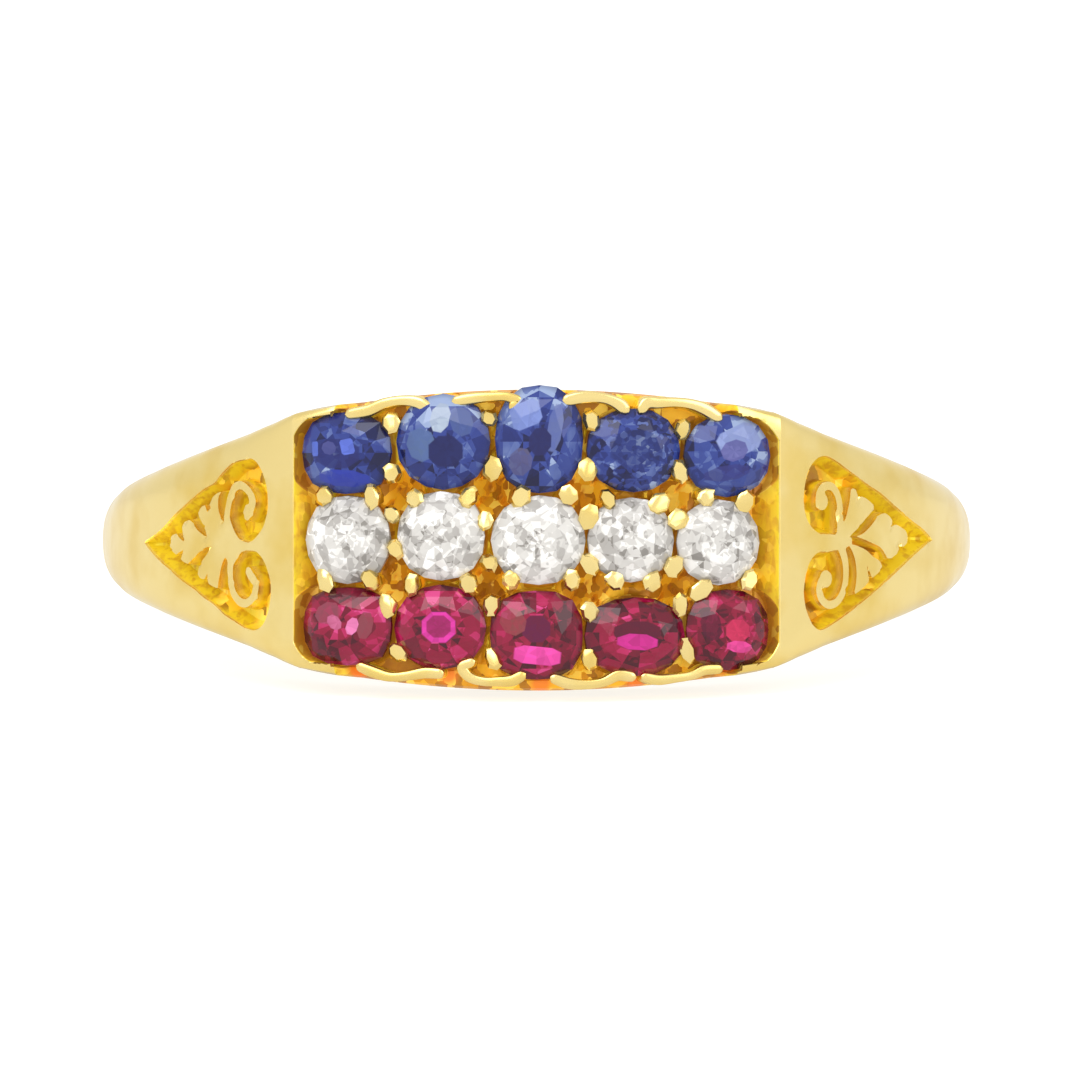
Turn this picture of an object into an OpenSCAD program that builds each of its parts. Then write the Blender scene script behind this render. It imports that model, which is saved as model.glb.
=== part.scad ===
// Cluster ring in yellow gold: three rows of five small stones in a boat-shaped head, between
// tapering shoulders that each carry a raised palmette in a heart-shaped recess.
// Millimetres, +Z up. The ring lies on its side on Z = 0 with its head towards -Y, so the front
// edge of the head and the edge of the band opposite it touch the surface.
// The modules draw the ring with its finger hole along Z, centred on the origin, and at_rest()
// lays it down.

/* [Finger hole and band] */
// Diameter of the finger hole
bore_d = 17; // [16.5:0.25:17.5]
// Thickness of the band at its sides and back
band_t = 1.34; // [1.2:0.02:1.5]
// Width of the band at its sides
band_side_w = 2.7; // [2.5:0.1:2.9]
// Width of the band across the back
band_back_w = 2.2; // [2:0.1:2.5]

/* [Head] */
// Half the length of the head, along the finger's width
head_half_l = 5.4; // [5.3:0.05:5.5]
// Width of the head at its middle, along the finger
head_w = 6.64; // [6.5:0.02:6.8]
// Height of the head's rim above the finger hole at its middle
head_rise = 2.3; // [2.2:0.05:2.5]
// Radius of the long arc that the head's top follows
head_arc_r = 12.5; // [12:0.25:13]
// Radius of the bowed long sides of the head
side_arc_r = 30; // [28:2:32]
// Depth of the sunk floor between the stones below the rim
well_depth = 0.55; // [0.5:0.05:0.6]
// Thickness of the rim that is left along the long sides
rim_t = 0.22; // [0.2:0.02:0.3]
// Arc from the middle of the head to each end wall of the well, in degrees
well_end_a = 25.1; // [24.8:0.1:25.4]
// Depth of the underside of the seat plate below the rim
plate_depth = 1.2; // [1.1:0.05:1.3]
// Thickness of the gallery's side walls under the plate
gallery_wall = 0.65; // [0.5:0.05:0.8]
// Half the length of the open underside of the head
gallery_half_l = 4.75; // [4.5:0.05:4.9]

/* [Shoulders] */
// Radius of the arc that each shoulder's face follows
shoulder_arc_r = 11.2; // [11:0.1:11.6]
// How much half the shoulder's width falls for each millimetre away from the head
shoulder_taper = 0.34; // [0.32:0.01:0.36]
// Depth of the heart-shaped recess
recess_depth = 0.4; // [0.3:0.05:0.5]
// Arc from the middle of the head to the recess's tip, round the shoulder's own centre, in degrees
recess_tip_a = 64.8; // [64:0.2:65.6]

/* [Stones] */
// Gap that is left between a stone and the metal round it
seat_gap = 0.04; // [0.03:0.01:0.06]
// Depth of the girdle's middle below the rim
girdle_depth = 0.2; // [0.15:0.05:0.25]
// Height of the crown above the girdle
crown_h = 0.31; // [0.28:0.01:0.34]
// Thickness of the girdle
girdle_t = 0.08; // [0.06:0.01:0.1]
// Depth of the pavilion below the girdle
pavilion_h = 0.84; // [0.75:0.01:0.86]
// Radius of the hole that is drilled through the plate under each stone
seat_hole_r = 0.42; // [0.35:0.01:0.45]

/* [Claws] */
// Radius of a claw
claw_r = 0.17; // [0.14:0.01:0.19]
// How far a claw stands to each side of the line through two stones
claw_offset = 0.55; // [0.5:0.01:0.6]
// Radius of the round notches in the rim that leave the scalloped tabs
notch_r = 0.5; // [0.45:0.01:0.55]

/* [Hidden] */

GOLD = [0.93, 0.77, 0.40];
SAPPHIRE_BLUE = [0.20, 0.27, 0.62];
DIAMOND_WHITE = [0.90, 0.91, 0.93];
RUBY_RED = [0.66, 0.11, 0.31];

bore_r = bore_d / 2;
band_r = bore_r + band_t;
edge_r = bore_r - 0.1;
head_half_w = head_w / 2;
head_top = bore_r + head_rise;
far = 20;
bore_sides = 96;
hole_sides = 24;
claw_sides = 8;

// One row for each stone, from -X to +X. ALONG is the arc from the middle of the head, ACROSS the
// place along the finger, LENGTH and HEIGHT the girdle's size, SQUARE the superellipse power of
// its outline (2 is an ellipse) and OPEN the gap in the rim beside it.
ALONG = 0;
ACROSS = 1;
LENGTH = 2;
HEIGHT = 3;
SQUARE = 4;
OPEN = 5;
sapphires = [
    [-4.26, 1.92, 2.02, 1.76, 2.5, 0.20],
    [-2.05, 2.16, 2.04, 2.07, 2.1, 0.60],
    [0.03, 2.22, 1.83, 2.34, 2.1, 0.96],
    [2.14, 1.98, 2.03, 1.80, 2.2, 0.44],
    [4.28, 1.86, 1.98, 1.79, 2.1, 0.28],
];
diamonds = [
    [-4.23, 0.01, 1.92, 1.90, 2.2, 0],
    [-2.10, 0.09, 1.90, 1.92, 2.2, 0],
    [0.00, 0.00, 1.98, 1.94, 2.1, 0],
    [2.07, 0.01, 1.87, 1.83, 2.1, 0],
    [4.09, -0.05, 1.86, 1.85, 2.1, 0],
];
rubies = [
    [-4.24, -1.90, 2.00, 1.68, 2.8, 0.38],
    [-2.12, -1.92, 2.00, 1.83, 2.1, 0.60],
    [0.00, -2.09, 1.98, 1.92, 2.7, 0.70],
    [2.14, -2.12, 2.12, 1.70, 2.3, 0.40],
    [4.27, -1.98, 1.90, 1.74, 2.4, 0.36],
];
rows = [sapphires, diamonds, rubies];

// Cut of every stone, as shares of the girdle's size and of the crown's or pavilion's height
table_share = 0.54;
star_share = 0.77;
lower_share = 0.5;
culet_share = 0.1;

// The head's long arc has its centre behind the finger hole's, and each shoulder's arc has its
// centre across the finger hole. The shoulder's arc meets the head's at the corner and ends as
// the band's circle.
head_arc_y = head_arc_r - head_top;
corner_up = sqrt(pow(head_arc_r, 2) - pow(head_half_l, 2)) - head_arc_y;
corner_a = atan2(head_half_l, corner_up);
shoulder_in = shoulder_arc_r - band_r;
shoulder_up = corner_up - sqrt(pow(shoulder_arc_r, 2) - pow(head_half_l + shoulder_in, 2));
corner_half_w = head_half_w - pow(head_half_l, 2) / (2 * side_arc_r);

// Superellipse power of the section's outer edge against the angle from the middle of the head:
// square across the head, rounder down the shoulders, and D-shaped round the band
edge_power = [[0, 14], [29, 14], [36, 9], [60, 5], [78, 2.6], [100, 2.1], [180, 2.6]];
back_power = lookup(180, edge_power);

// Half outline of the heart-shaped recess: distance from its tip along the shoulder, half height
heart = [
    [0, 0], [1.1, 0.45], [2.8, 1.27], [3.5, 1.74], [3.9, 1.89], [4.25, 1.88],
    [4.55, 1.64], [4.72, 1.12], [4.7, 0.62], [4.45, 0.25], [4, 0.05],
];
// Half outline of the palmette's leaves in the same measures: a leaf of three lobes at the tip,
// then a leaf of two lobes, then the stem that joins the shoulder at the heart's notch
leaves = [
    [1.23, 0], [1.5, 0.22], [1.9, 0.04], [1.72, 0.4], [2, 0.52], [2.3, 0.27],
    [2.75, 0.09], [2.4, 0.68], [2.63, 0.86], [2.76, 0.58], [2.86, 0.92], [3.12, 1.12],
    [3.1, 0.7], [3.33, 0.16], [4, 0.1], [4.9, 0.1],
];
// Scroll beside the leaves, which leaves the stem, turns round its middle and ends in a bud
scroll_root = [3.85, 0.06];
scroll_mid = [3.8, 0.8];
scroll_size = [0.39, 0.45];
scroll_start_a = 250;
scroll_end_a = -20;
scroll_half_w = 0.1;
bud_r = 0.14;

function total(v, i = 0) = i < len(v) ? v[i] + total(v, i + 1) : 0;

function superellipse(a, rx, ry, power) = [
    rx * sign(cos(a)) * pow(abs(cos(a)), 2 / power),
    ry * sign(sin(a)) * pow(abs(sin(a)), 2 / power),
];

// How far a superellipse reaches in the direction (dx, dy)
function support(rx, ry, power, dx, dy) =
    let (q = power / (power - 1))
    pow(pow(rx * dx, q) + pow(ry * dy, q), 1 / q);

// Distance from the origin to a circle at (x, up), at the angle a from the middle of the head
function polar_reach(a, x, up, r) =
    let (along = x * sin(a) + up * cos(a))
    along + sqrt(r * r - x * x - up * up + along * along);

// Radius of the ring's outer face at the angle a from the middle of the head
function reach(a) =
    abs(a) > 90 ? band_r
    : min(
        polar_reach(a, 0, -head_arc_y, head_arc_r),
        polar_reach(abs(a), -shoulder_in, shoulder_up, shoulder_arc_r)
    );

function band_half_w(a) =
    (band_side_w + (band_back_w - band_side_w) * max(0, abs(a) - 90) / 90) / 2;

// Half the ring's width at the angle a from the middle of the head
function half_width(a) =
    let (x = reach(a) * sin(abs(a)))
    abs(a) <= corner_a ? head_half_w - x * x / (2 * side_arc_r)
    : abs(a) < 90 ? max(corner_half_w - shoulder_taper * (x - head_half_l), band_half_w(a))
    : band_half_w(a);

// The ring rests where the edge of the head and the back of the band are equally low
function head_low(t) = head_half_w * cos(t) - bore_r * sin(t);
function back_low(t) =
    support(band_r - edge_r, band_back_w / 2, back_power, sin(t), cos(t)) + edge_r * sin(t);
function settled_tilt(t, steps) =
    steps == 0 ? t
    : settled_tilt(
        asin((head_half_w * cos(t) - back_low(t) + bore_r * sin(t)) / bore_d),
        steps - 1
    );
tilt = settled_tilt(7, 8);
rest_height = head_low(tilt);
front_reach = head_top * cos(tilt) + head_half_w * sin(tilt);
back_reach = edge_r * cos(tilt)
    + support(band_r - edge_r, band_back_w / 2, back_power, cos(tilt), sin(tilt));
rest_shift = (front_reach - back_reach) / 2;

module at_rest() {
    translate([0, rest_shift, rest_height])
        rotate([-tilt, 0, 0])
            children();
}

// Local Z points out of the head and local Y along the finger
module on_head(a, below_rim = 0) {
    translate([0, head_arc_y, 0])
        rotate([90, 0, a])
            translate([0, 0, head_arc_r - below_rim])
                children();
}

// Local X runs round the ring from the recess's tip to the head, and local Z points outwards
module on_shoulder(side, a) {
    translate([-side * shoulder_in, -shoulder_up, 0])
        rotate([90, 0, side * a])
            mirror([side > 0 ? 1 : 0, 0, 0])
                children();
}

function along_a(along) = along / (head_arc_r - girdle_depth) * 180 / PI;

// One section of the ring: two points well inside the finger hole, then the outer edge, which
// starts just inside the hole so that the hole cuts every facet squarely
section_step = 15;
inside_r = bore_r - 0.6;
function section(a) =
    let (
        half = half_width(a),
        edge = [
            for (p = [-90:section_step:90])
                superellipse(p, reach(a) - edge_r, half, lookup(abs(a), edge_power))
        ]
    )
    concat([[inside_r, -half]], [for (e = edge) [edge_r + e[0], e[1]]], [[inside_r, half]]);

head_steps = 6;
band_steps = 28;
half_angles = concat(
    [for (i = [1:head_steps]) corner_a * i / head_steps],
    [for (i = [1:band_steps - 1]) corner_a + (180 - corner_a) * i / band_steps]
);
angles = concat(
    [0], half_angles, [180], -reversed(half_angles)
);

// Solid outer form of head, shoulders and band, lofted round the finger hole
module outer_form() {
    sections = [for (a = angles) section(a)];
    m = len(sections[0]);
    n = len(sections);
    points = [
        for (i = [0:n - 1])
            for (p = sections[i])
                [p[0] * sin(angles[i]), -p[0] * cos(angles[i]), p[1]]
    ];
    faces = [
        for (i = [0:n - 1])
            for (j = [0:m - 1])
                let (
                    a = i * m + j,
                    b = i * m + (j + 1) % m,
                    c = ((i + 1) % n) * m + (j + 1) % m,
                    d = ((i + 1) % n) * m + j
                )
                each [[a, b, c], [a, c, d]]
    ];
    polyhedron(points = points, faces = faces);
}

// Prism with the head's boat-shaped outline, inset, from the finger out through the head
module boat(inset, half_l) {
    steps = 12;
    side = [
        for (i = [0:steps])
            let (x = half_l * (2 * i / steps - 1))
            [x, head_half_w - x * x / (2 * side_arc_r) - inset]
    ];
    rotate([90, 0, 0])
        linear_extrude(far)
            polygon(concat(side, [for (p = reversed(side)) [p[0], -p[1]]]));
}

module arc_cylinder(r) {
    translate([0, head_arc_y, -far / 2])
        cylinder(r = r, h = far, $fn = 2 * bore_sides);
}

// Sunk field that holds the stones, with end walls square to the head's arc
module well() {
    reach_x = far * tan(well_end_a);
    intersection() {
        boat(rim_t, head_half_l + 1);
        translate([0, head_arc_y, -far / 2])
            linear_extrude(far)
                polygon([[0, 0], [-reach_x, -far], [reach_x, -far]]);
        difference() {
            arc_cylinder(head_arc_r + 2);
            arc_cylinder(head_arc_r - well_depth);
        }
    }
}

// Open underside of the head, up to the seat plate
module gallery() {
    intersection() {
        boat(gallery_wall, gallery_half_l);
        arc_cylinder(head_arc_r - plate_depth);
    }
}

// Round notches through the rim beside the outer stones, which leave the scalloped tabs
module rim_notch(stone, side) {
    depth = sqrt(pow(notch_r, 2) - pow(stone[OPEN] / 2, 2));
    inner = abs(stone[ACROSS]) + stone[HEIGHT] / 4;
    on_head(along_a(stone[ALONG]), depth)
        rotate([-90 * side, 0, 0])
            translate([0, 0, inner])
                cylinder(r = notch_r, h = far / 4, $fn = hole_sides);
}

module claw(along, across) {
    foot = 0.15;
    on_head(along_a(along), well_depth + foot)
        translate([0, across, 0])
            rotate([0, 0, 180 / claw_sides])
                cylinder(r = claw_r, h = well_depth + foot, $fn = claw_sides);
}

// Claws in pairs, one pair between each two neighbours in a row and in a column
module claws() {
    for (row = rows)
        for (i = [0:len(row) - 2], side = [-1, 1]) {
            a = row[i];
            b = row[i + 1];
            along = (a[ALONG] + a[LENGTH] / 2 + b[ALONG] - b[LENGTH] / 2) / 2;
            claw(along, (a[ACROSS] + b[ACROSS]) / 2 + side * claw_offset);
        }
    for (r = [0:len(rows) - 2])
        for (i = [0:len(rows[r]) - 1], side = [-1, 1]) {
            a = rows[r][i];
            b = rows[r + 1][i];
            across = (a[ACROSS] - a[HEIGHT] / 2 + b[ACROSS] + b[HEIGHT] / 2) / 2;
            claw((a[ALONG] + b[ALONG]) / 2 + side * claw_offset, across);
        }
}

// Deep points where four stones meet
module valleys() {
    valley_r = 0.3;
    valley_depth = 0.85;
    for (r = [0:len(rows) - 2])
        for (i = [0:len(rows[r]) - 2]) {
            four = [rows[r][i], rows[r][i + 1], rows[r + 1][i], rows[r + 1][i + 1]];
            along = total([for (s = four) s[ALONG]]) / 4;
            across = total([for (s = four) s[ACROSS]]) / 4;
            on_head(along_a(along), valley_depth)
                translate([0, across, 0])
                    rotate([0, 0, 45])
                        linear_extrude(valley_depth)
                            square(valley_r, center = true);
        }
}

function scroll_point(a) = [
    scroll_mid[0] + scroll_size[0] * cos(a),
    scroll_mid[1] + scroll_size[1] * sin(a),
];

scroll_steps = 9;
scroll_path = concat(
    [scroll_root],
    [
        for (i = [0:scroll_steps])
            scroll_point(scroll_start_a + (scroll_end_a - scroll_start_a) * i / scroll_steps)
    ]
);

// The path's points moved sideways by half_w
function beside(path, half_w) = [
    for (i = [0:len(path) - 1])
        let (run = path[min(i + 1, len(path) - 1)] - path[max(i - 1, 0)])
        path[i] + [-run[1], run[0]] / norm(run) * half_w
];

function reversed(v) = [for (i = [len(v) - 1:-1:0]) v[i]];

module palmette() {
    for (side = [1, -1])
        mirror([0, side > 0 ? 0 : 1]) {
            polygon(concat(leaves, [[leaves[len(leaves) - 1][0], 0]]));
            polygon(concat(
                beside(scroll_path, scroll_half_w),
                reversed(beside(scroll_path, -scroll_half_w))
            ));
            translate(scroll_point(scroll_end_a))
                circle(r = bud_r, $fn = claw_sides);
        }
}

module heart_outline() {
    polygon(concat(heart, [for (p = reversed(heart)) [p[0], -p[1]]]));
}

// Heart-shaped recess round a palmette that stays level with the shoulder
module recess(side) {
    mid = 2.6;
    mid_a = recess_tip_a - mid / shoulder_arc_r * 180 / PI;
    difference() {
        on_shoulder(side, mid_a)
            translate([-mid, 0, shoulder_arc_r - 2])
                linear_extrude(4)
                    difference() {
                        heart_outline();
                        palmette();
                    }
        translate([-side * shoulder_in, -shoulder_up, -far / 2])
            cylinder(r = shoulder_arc_r - recess_depth, h = far, $fn = 2 * bore_sides);
    }
}

// One cut stone with its girdle's middle at the origin and its table towards +Z: an octagonal
// table, 8 stars, 8 kites and 16 girdle facets above, and 16 facets, 8 kites and a culet below
module brilliant(length, height, power, grow = 0) {
    rx = length / 2 + grow;
    ry = height / 2 + grow;
    top = girdle_t / 2 + crown_h + grow;
    bottom = girdle_t / 2 + pavilion_h + grow;
    mid = girdle_t / 2 + grow / 2;
    star_z = mid + (top - mid) * (1 - star_share * cos(22.5)) / (1 - table_share);
    lower_z = mid + (bottom - mid) * (1 - lower_share * cos(22.5)) / (1 - culet_share);
    function round_at(share, a, z) =
        let (p = superellipse(a, rx * share, ry * share, power)) [p[0], p[1], z];
    points = concat(
        [for (k = [0:7]) round_at(table_share, 45 * k, top)],
        [for (k = [0:7]) round_at(star_share, 45 * k + 22.5, star_z)],
        [for (k = [0:15]) round_at(1, 22.5 * k, mid)],
        [for (k = [0:15]) round_at(1, 22.5 * k, -mid)],
        [for (k = [0:7]) round_at(lower_share, 45 * k + 22.5, -lower_z)],
        [for (k = [0:7]) round_at(culet_share, 45 * k, -bottom)]
    );
    star = 8;
    upper = 16;
    under = 32;
    lower = 48;
    culet = 56;
    faces = concat(
        [[for (k = [7:-1:0]) k], [for (k = [0:7]) culet + k]],
        [
            for (k = [0:7])
                let (next = (k + 1) % 8, g = 2 * k, h = 2 * k + 1, after = (2 * k + 2) % 16)
                each [
                    [k, next, star + k],
                    [k, star + k, upper + g],
                    [next, upper + after, star + k],
                    [star + k, upper + h, upper + g],
                    [star + k, upper + after, upper + h],
                    [upper + g, upper + h, under + g],
                    [upper + h, under + h, under + g],
                    [upper + h, upper + after, under + h],
                    [upper + after, under + after, under + h],
                    [under + g, under + h, lower + k],
                    [under + h, under + after, lower + k],
                    [under + g, lower + k, culet + k],
                    [under + after, culet + next, lower + k],
                    [culet + k, lower + k, culet + next],
                ]
        ]
    );
    polyhedron(points = points, faces = faces);
}

module placed_stone(stone, grow = 0) {
    on_head(along_a(stone[ALONG]), girdle_depth)
        translate([0, stone[ACROSS], 0])
            brilliant(stone[LENGTH], stone[HEIGHT], stone[SQUARE], grow);
}

// Hole through the plate under a stone
module seat_hole(stone) {
    on_head(along_a(stone[ALONG]), plate_depth + 0.3)
        translate([0, stone[ACROSS], 0])
            cylinder(r = seat_hole_r, h = plate_depth - girdle_depth, $fn = hole_sides);
}

module ring_mount() {
    color(GOLD)
        at_rest()
            difference() {
                union() {
                    difference() {
                        outer_form();
                        well();
                        gallery();
                        for (s = sapphires) rim_notch(s, 1);
                        for (s = rubies) rim_notch(s, -1);
                        recess(1);
                        recess(-1);
                    }
                    claws();
                }
                valleys();
                for (row = rows, s = row) {
                    placed_stone(s, seat_gap);
                    seat_hole(s);
                }
                translate([0, 0, -far / 2])
                    cylinder(d = bore_d, h = far, $fn = bore_sides);
            }
}

module sapphire(i) {
    color(SAPPHIRE_BLUE) at_rest() placed_stone(sapphires[i]);
}

module diamond(i) {
    color(DIAMOND_WHITE) at_rest() placed_stone(diamonds[i]);
}

module ruby(i) {
    color(RUBY_RED) at_rest() placed_stone(rubies[i]);
}

ring_mount();
sapphire(0);  // sapphire_1
sapphire(1);  // sapphire_2
sapphire(2);  // sapphire_3
sapphire(3);  // sapphire_4
sapphire(4);  // sapphire_5
diamond(0);  // diamond_1
diamond(1);  // diamond_2
diamond(2);  // diamond_3
diamond(3);  // diamond_4
diamond(4);  // diamond_5
ruby(0);  // ruby_1
ruby(1);  // ruby_2
ruby(2);  // ruby_3
ruby(3);  // ruby_4
ruby(4);  // ruby_5
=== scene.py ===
"""A gemstone cluster ring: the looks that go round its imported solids.

Sizes are millimetres until a mesh is made, and metres from then on. The ring is worked out
upright, with its finger hole along Z and its head towards -Y, and RestPose lays it on its side.
"""

import logging
import math
from dataclasses import dataclass, field
from enum import Enum
from functools import partial
from typing import Callable

import bmesh
import bpy
import numpy as np
from mathutils import Matrix, Vector


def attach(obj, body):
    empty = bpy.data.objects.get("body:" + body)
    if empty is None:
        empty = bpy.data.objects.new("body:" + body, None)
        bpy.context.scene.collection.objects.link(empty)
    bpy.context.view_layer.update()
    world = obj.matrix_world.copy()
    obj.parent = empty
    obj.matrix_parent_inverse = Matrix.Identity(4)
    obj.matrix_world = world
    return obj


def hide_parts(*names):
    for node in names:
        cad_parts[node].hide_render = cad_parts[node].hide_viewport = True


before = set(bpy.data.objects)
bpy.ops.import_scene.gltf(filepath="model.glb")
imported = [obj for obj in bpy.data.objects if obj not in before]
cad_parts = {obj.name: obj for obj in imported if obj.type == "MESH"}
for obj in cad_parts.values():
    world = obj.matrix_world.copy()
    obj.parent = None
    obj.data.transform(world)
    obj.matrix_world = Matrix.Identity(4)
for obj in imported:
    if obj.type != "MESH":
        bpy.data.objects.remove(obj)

MM = 0.001
BODY = "root"
FACET_TURN = math.pi / 8
NO_CORNER_DEG = 170
WITHIN_EDGE = 0.99999
CROSSING_RANGE = (0.02, 0.98)
log = logging.getLogger("ring")

# A Field measures sheet points, a Measure lengths and heights, and a node's input takes a Given
Field = Callable[[np.ndarray], np.ndarray]
Measure = Callable[[np.ndarray, np.ndarray], np.ndarray]
Given = bpy.types.NodeSocket | float | tuple


def ramp(value: np.ndarray, start: float, end: float) -> np.ndarray:
    """Returns 0 before start, 1 past end and a straight rise between them."""
    return np.clip((value - start) / (end - start), 0.0, 1.0)


@dataclass(frozen=True)
class RestPose:
    """How the ring lies: tipped until the head's edge and the back of its band both touch."""

    tilt_deg: float = 7.35926
    shift: float = 0.678527
    height: float = 2.20388

    def place(self, points: np.ndarray) -> np.ndarray:
        """Lays upright points down.

        Args:
            points: (N, 3) points of the upright ring, in millimetres.

        Returns:
            (N, 3) points in the row frame, in metres.
        """
        c, s = math.cos(math.radians(self.tilt_deg)), math.sin(math.radians(self.tilt_deg))
        x, y, z = points.T
        lying = np.stack([x, y * c + z * s + self.shift, z * c - y * s + self.height], axis=1)
        return lying * MM

    def turn(self, vectors: np.ndarray) -> np.ndarray:
        """Returns directions of the upright ring turned as place turns its points."""
        return (self.place(vectors) - self.place(np.zeros((1, 3)))) / MM


@dataclass(frozen=True)
class RingProfile:
    """The ring's outer face, as a line round it and a section across it.

    s is the length along the outer face from the middle of the head, positive towards +X.
    """

    bore_r: float = 8.5
    foot_r: float = 8.4
    band_r: float = 9.84
    head_arc_r: float = 12.5
    head_arc_y: float = 1.7
    girdle_r: float = 12.3
    head_half_l: float = 5.4
    head_half_w: float = 3.32
    side_arc_r: float = 30.0
    shoulder_arc_r: float = 11.2
    shoulder_in: float = 1.36
    shoulder_up: float = 0.64356
    shoulder_taper: float = 0.34
    corner_half_w: float = 2.834
    band_side_half_w: float = 1.35
    band_back_half_w: float = 1.1
    bore_bevel: float = 0.07
    corner_ease: float = 0.45
    band_ease: float = 0.35
    width_blend: float = 0.05
    section_edge_deg: float = 80.0
    power_angles: tuple[float, ...] = (0, 24, 28.5, 33, 38, 60, 78, 100, 180)
    edge_powers: tuple[float, ...] = (40, 40, 24, 13, 9, 5, 2.6, 2.1, 2.6)

    @property
    def corner_s(self) -> float:
        """Length along the face to the corner between head and shoulder."""
        return self.head_arc_r * math.asin(self.head_half_l / self.head_arc_r)

    @property
    def corner_turn(self) -> float:
        """Angle of that corner round the shoulder's centre, in radians."""
        return math.asin((self.head_half_l + self.shoulder_in) / self.shoulder_arc_r)

    @property
    def shoulder_end_s(self) -> float:
        """Length along the face to where the shoulder's arc becomes the band's circle."""
        return self.corner_s + self.shoulder_arc_r * (math.pi / 2 - self.corner_turn)

    @property
    def band_start_turn(self) -> float:
        """Angle of that point round the finger hole, in radians."""
        return math.atan2(self.band_r, self.shoulder_up)

    @property
    def back_s(self) -> float:
        """Length along the face to the middle of the back."""
        return self.shoulder_end_s + self.band_r * (math.pi - self.band_start_turn)

    def tip_s(self, tip_deg: float) -> float:
        """Returns the length to a point whose angle round the shoulder's centre is tip_deg."""
        return self.corner_s + self.shoulder_arc_r * (math.radians(tip_deg) - self.corner_turn)

    def face(self, s: np.ndarray) -> tuple[np.ndarray, np.ndarray]:
        """Finds points and outward normals along the middle of the outer face.

        Args:
            s: (N,) lengths along the face.

        Returns:
            Two (N, 2) arrays of x and y: the points and the unit normals.
        """
        side, length = np.sign(s), np.abs(s)
        turn = length / self.head_arc_r
        head_n = np.stack([np.sin(turn), -np.cos(turn)], axis=1)
        head_p = head_n * self.head_arc_r + [0, self.head_arc_y]
        turn = self.corner_turn + (length - self.corner_s) / self.shoulder_arc_r
        shoulder_n = np.stack([np.sin(turn), -np.cos(turn)], axis=1)
        shoulder_p = shoulder_n * self.shoulder_arc_r - [self.shoulder_in, self.shoulder_up]
        gone = (length - self.shoulder_end_s) / self.band_r
        turn = self.band_start_turn + gone
        ease = np.clip(1 - gone / self.band_ease, 0, 1)[:, None] ** 2
        band_n = np.stack([np.sin(turn), -np.cos(turn)], axis=1)
        start_r = math.hypot(self.band_r, self.shoulder_up)
        band_p = band_n * (self.band_r + (start_r - self.band_r) * ease)
        band_n = band_n * (1 - ease) + np.stack([np.cos(gone), np.sin(gone)], axis=1) * ease
        on_head = (length <= self.corner_s)[:, None]
        on_band = (length > self.shoulder_end_s)[:, None]
        points = np.where(on_head, head_p, np.where(on_band, band_p, shoulder_p))
        normals = np.where(on_head, head_n, np.where(on_band, band_n, shoulder_n))
        normals = normals / np.linalg.norm(normals, axis=1)[:, None]
        mirror = np.stack([np.where(side < 0, -1.0, 1.0), np.ones_like(s)], axis=1)
        return points * mirror, normals * mirror

    def half_width(self, points: np.ndarray) -> np.ndarray:
        """Finds half the ring's width along the finger.

        Args:
            points: (N, 2) upright points of the outer face.

        Returns:
            (N,) half widths.
        """
        x, turn = np.abs(points[:, 0]), self.turns(points)
        past = np.clip(turn - 90, 0, 90)
        band = self.band_side_half_w + (self.band_back_half_w - self.band_side_half_w) * past / 90
        head = self.head_half_w - x * x / (2 * self.side_arc_r)
        run = np.where(turn < 90, x, self.band_r + self.band_r * np.radians(past))
        shoulder = self.corner_half_w - self.shoulder_taper * (run - self.head_half_l)
        over = (shoulder - band) / self.width_blend
        blend = np.log1p(np.exp(over)) * self.width_blend + band
        return np.where((x <= self.head_half_l) & (turn < 90), head, blend)

    @staticmethod
    def turns(points: np.ndarray) -> np.ndarray:
        """Returns the angles of points from the middle of the head, in degrees, 0 to 180."""
        return np.degrees(np.arctan2(np.abs(points[:, 0]), -points[:, 1]))

    def power(self, points: np.ndarray) -> np.ndarray:
        """Returns the superellipse power of the section's edge at points along the face."""
        return np.interp(self.turns(points), self.power_angles, self.edge_powers)

    def top_half_width(self, s: np.ndarray) -> np.ndarray:
        """Finds where the outer face ends and the side wall begins.

        Args:
            s: (N,) lengths along the face.

        Returns:
            (N,) half widths.
        """
        points, _ = self.face(s)
        edge = math.sin(math.radians(self.section_edge_deg))
        return self.half_width(points) * edge ** (2 / self.power(points))

    def on_face(self, s: np.ndarray, z: np.ndarray, depth: np.ndarray) -> np.ndarray:
        """Finds points of the outer face, sunk by a depth.

        Args:
            s: (N,) lengths along the face.
            z: (N,) places across it.
            depth: (N,) depths below it.

        Returns:
            (N, 3) upright points.
        """
        points, normals = self.face(s)
        thick = np.linalg.norm(points, axis=1) - self.foot_r
        power = self.power(points)
        share = np.clip(np.abs(z) / self.half_width(points), 0, WITHIN_EDGE)
        drop = thick * (1 - (1 - share**power) ** (1 / power))
        sunk = points - self.falling(s, normals) * drop[:, None] - normals * depth[:, None]
        return np.column_stack([sunk, z])

    def falling(self, s: np.ndarray, normals: np.ndarray) -> np.ndarray:
        """Finds the directions in which the section's edges fall away, even across the corners.

        Args:
            s: (N,) lengths along the face.
            normals: (N, 2) unit normals there.

        Returns:
            (N, 2) unit directions, pointing outward.
        """
        close = np.clip(1 - np.abs(np.abs(s) - self.corner_s) / self.corner_ease, 0, 1)[:, None]
        _, both = self.face(self.corner_s + np.array([-1e-6, 1e-6]))
        mirror = np.stack([np.where(s < 0, -1.0, 1.0), np.ones_like(s)], axis=1)
        eased = normals * (1 - close) + both.mean(axis=0) * mirror * close
        return eased / np.linalg.norm(eased, axis=1)[:, None]

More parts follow.
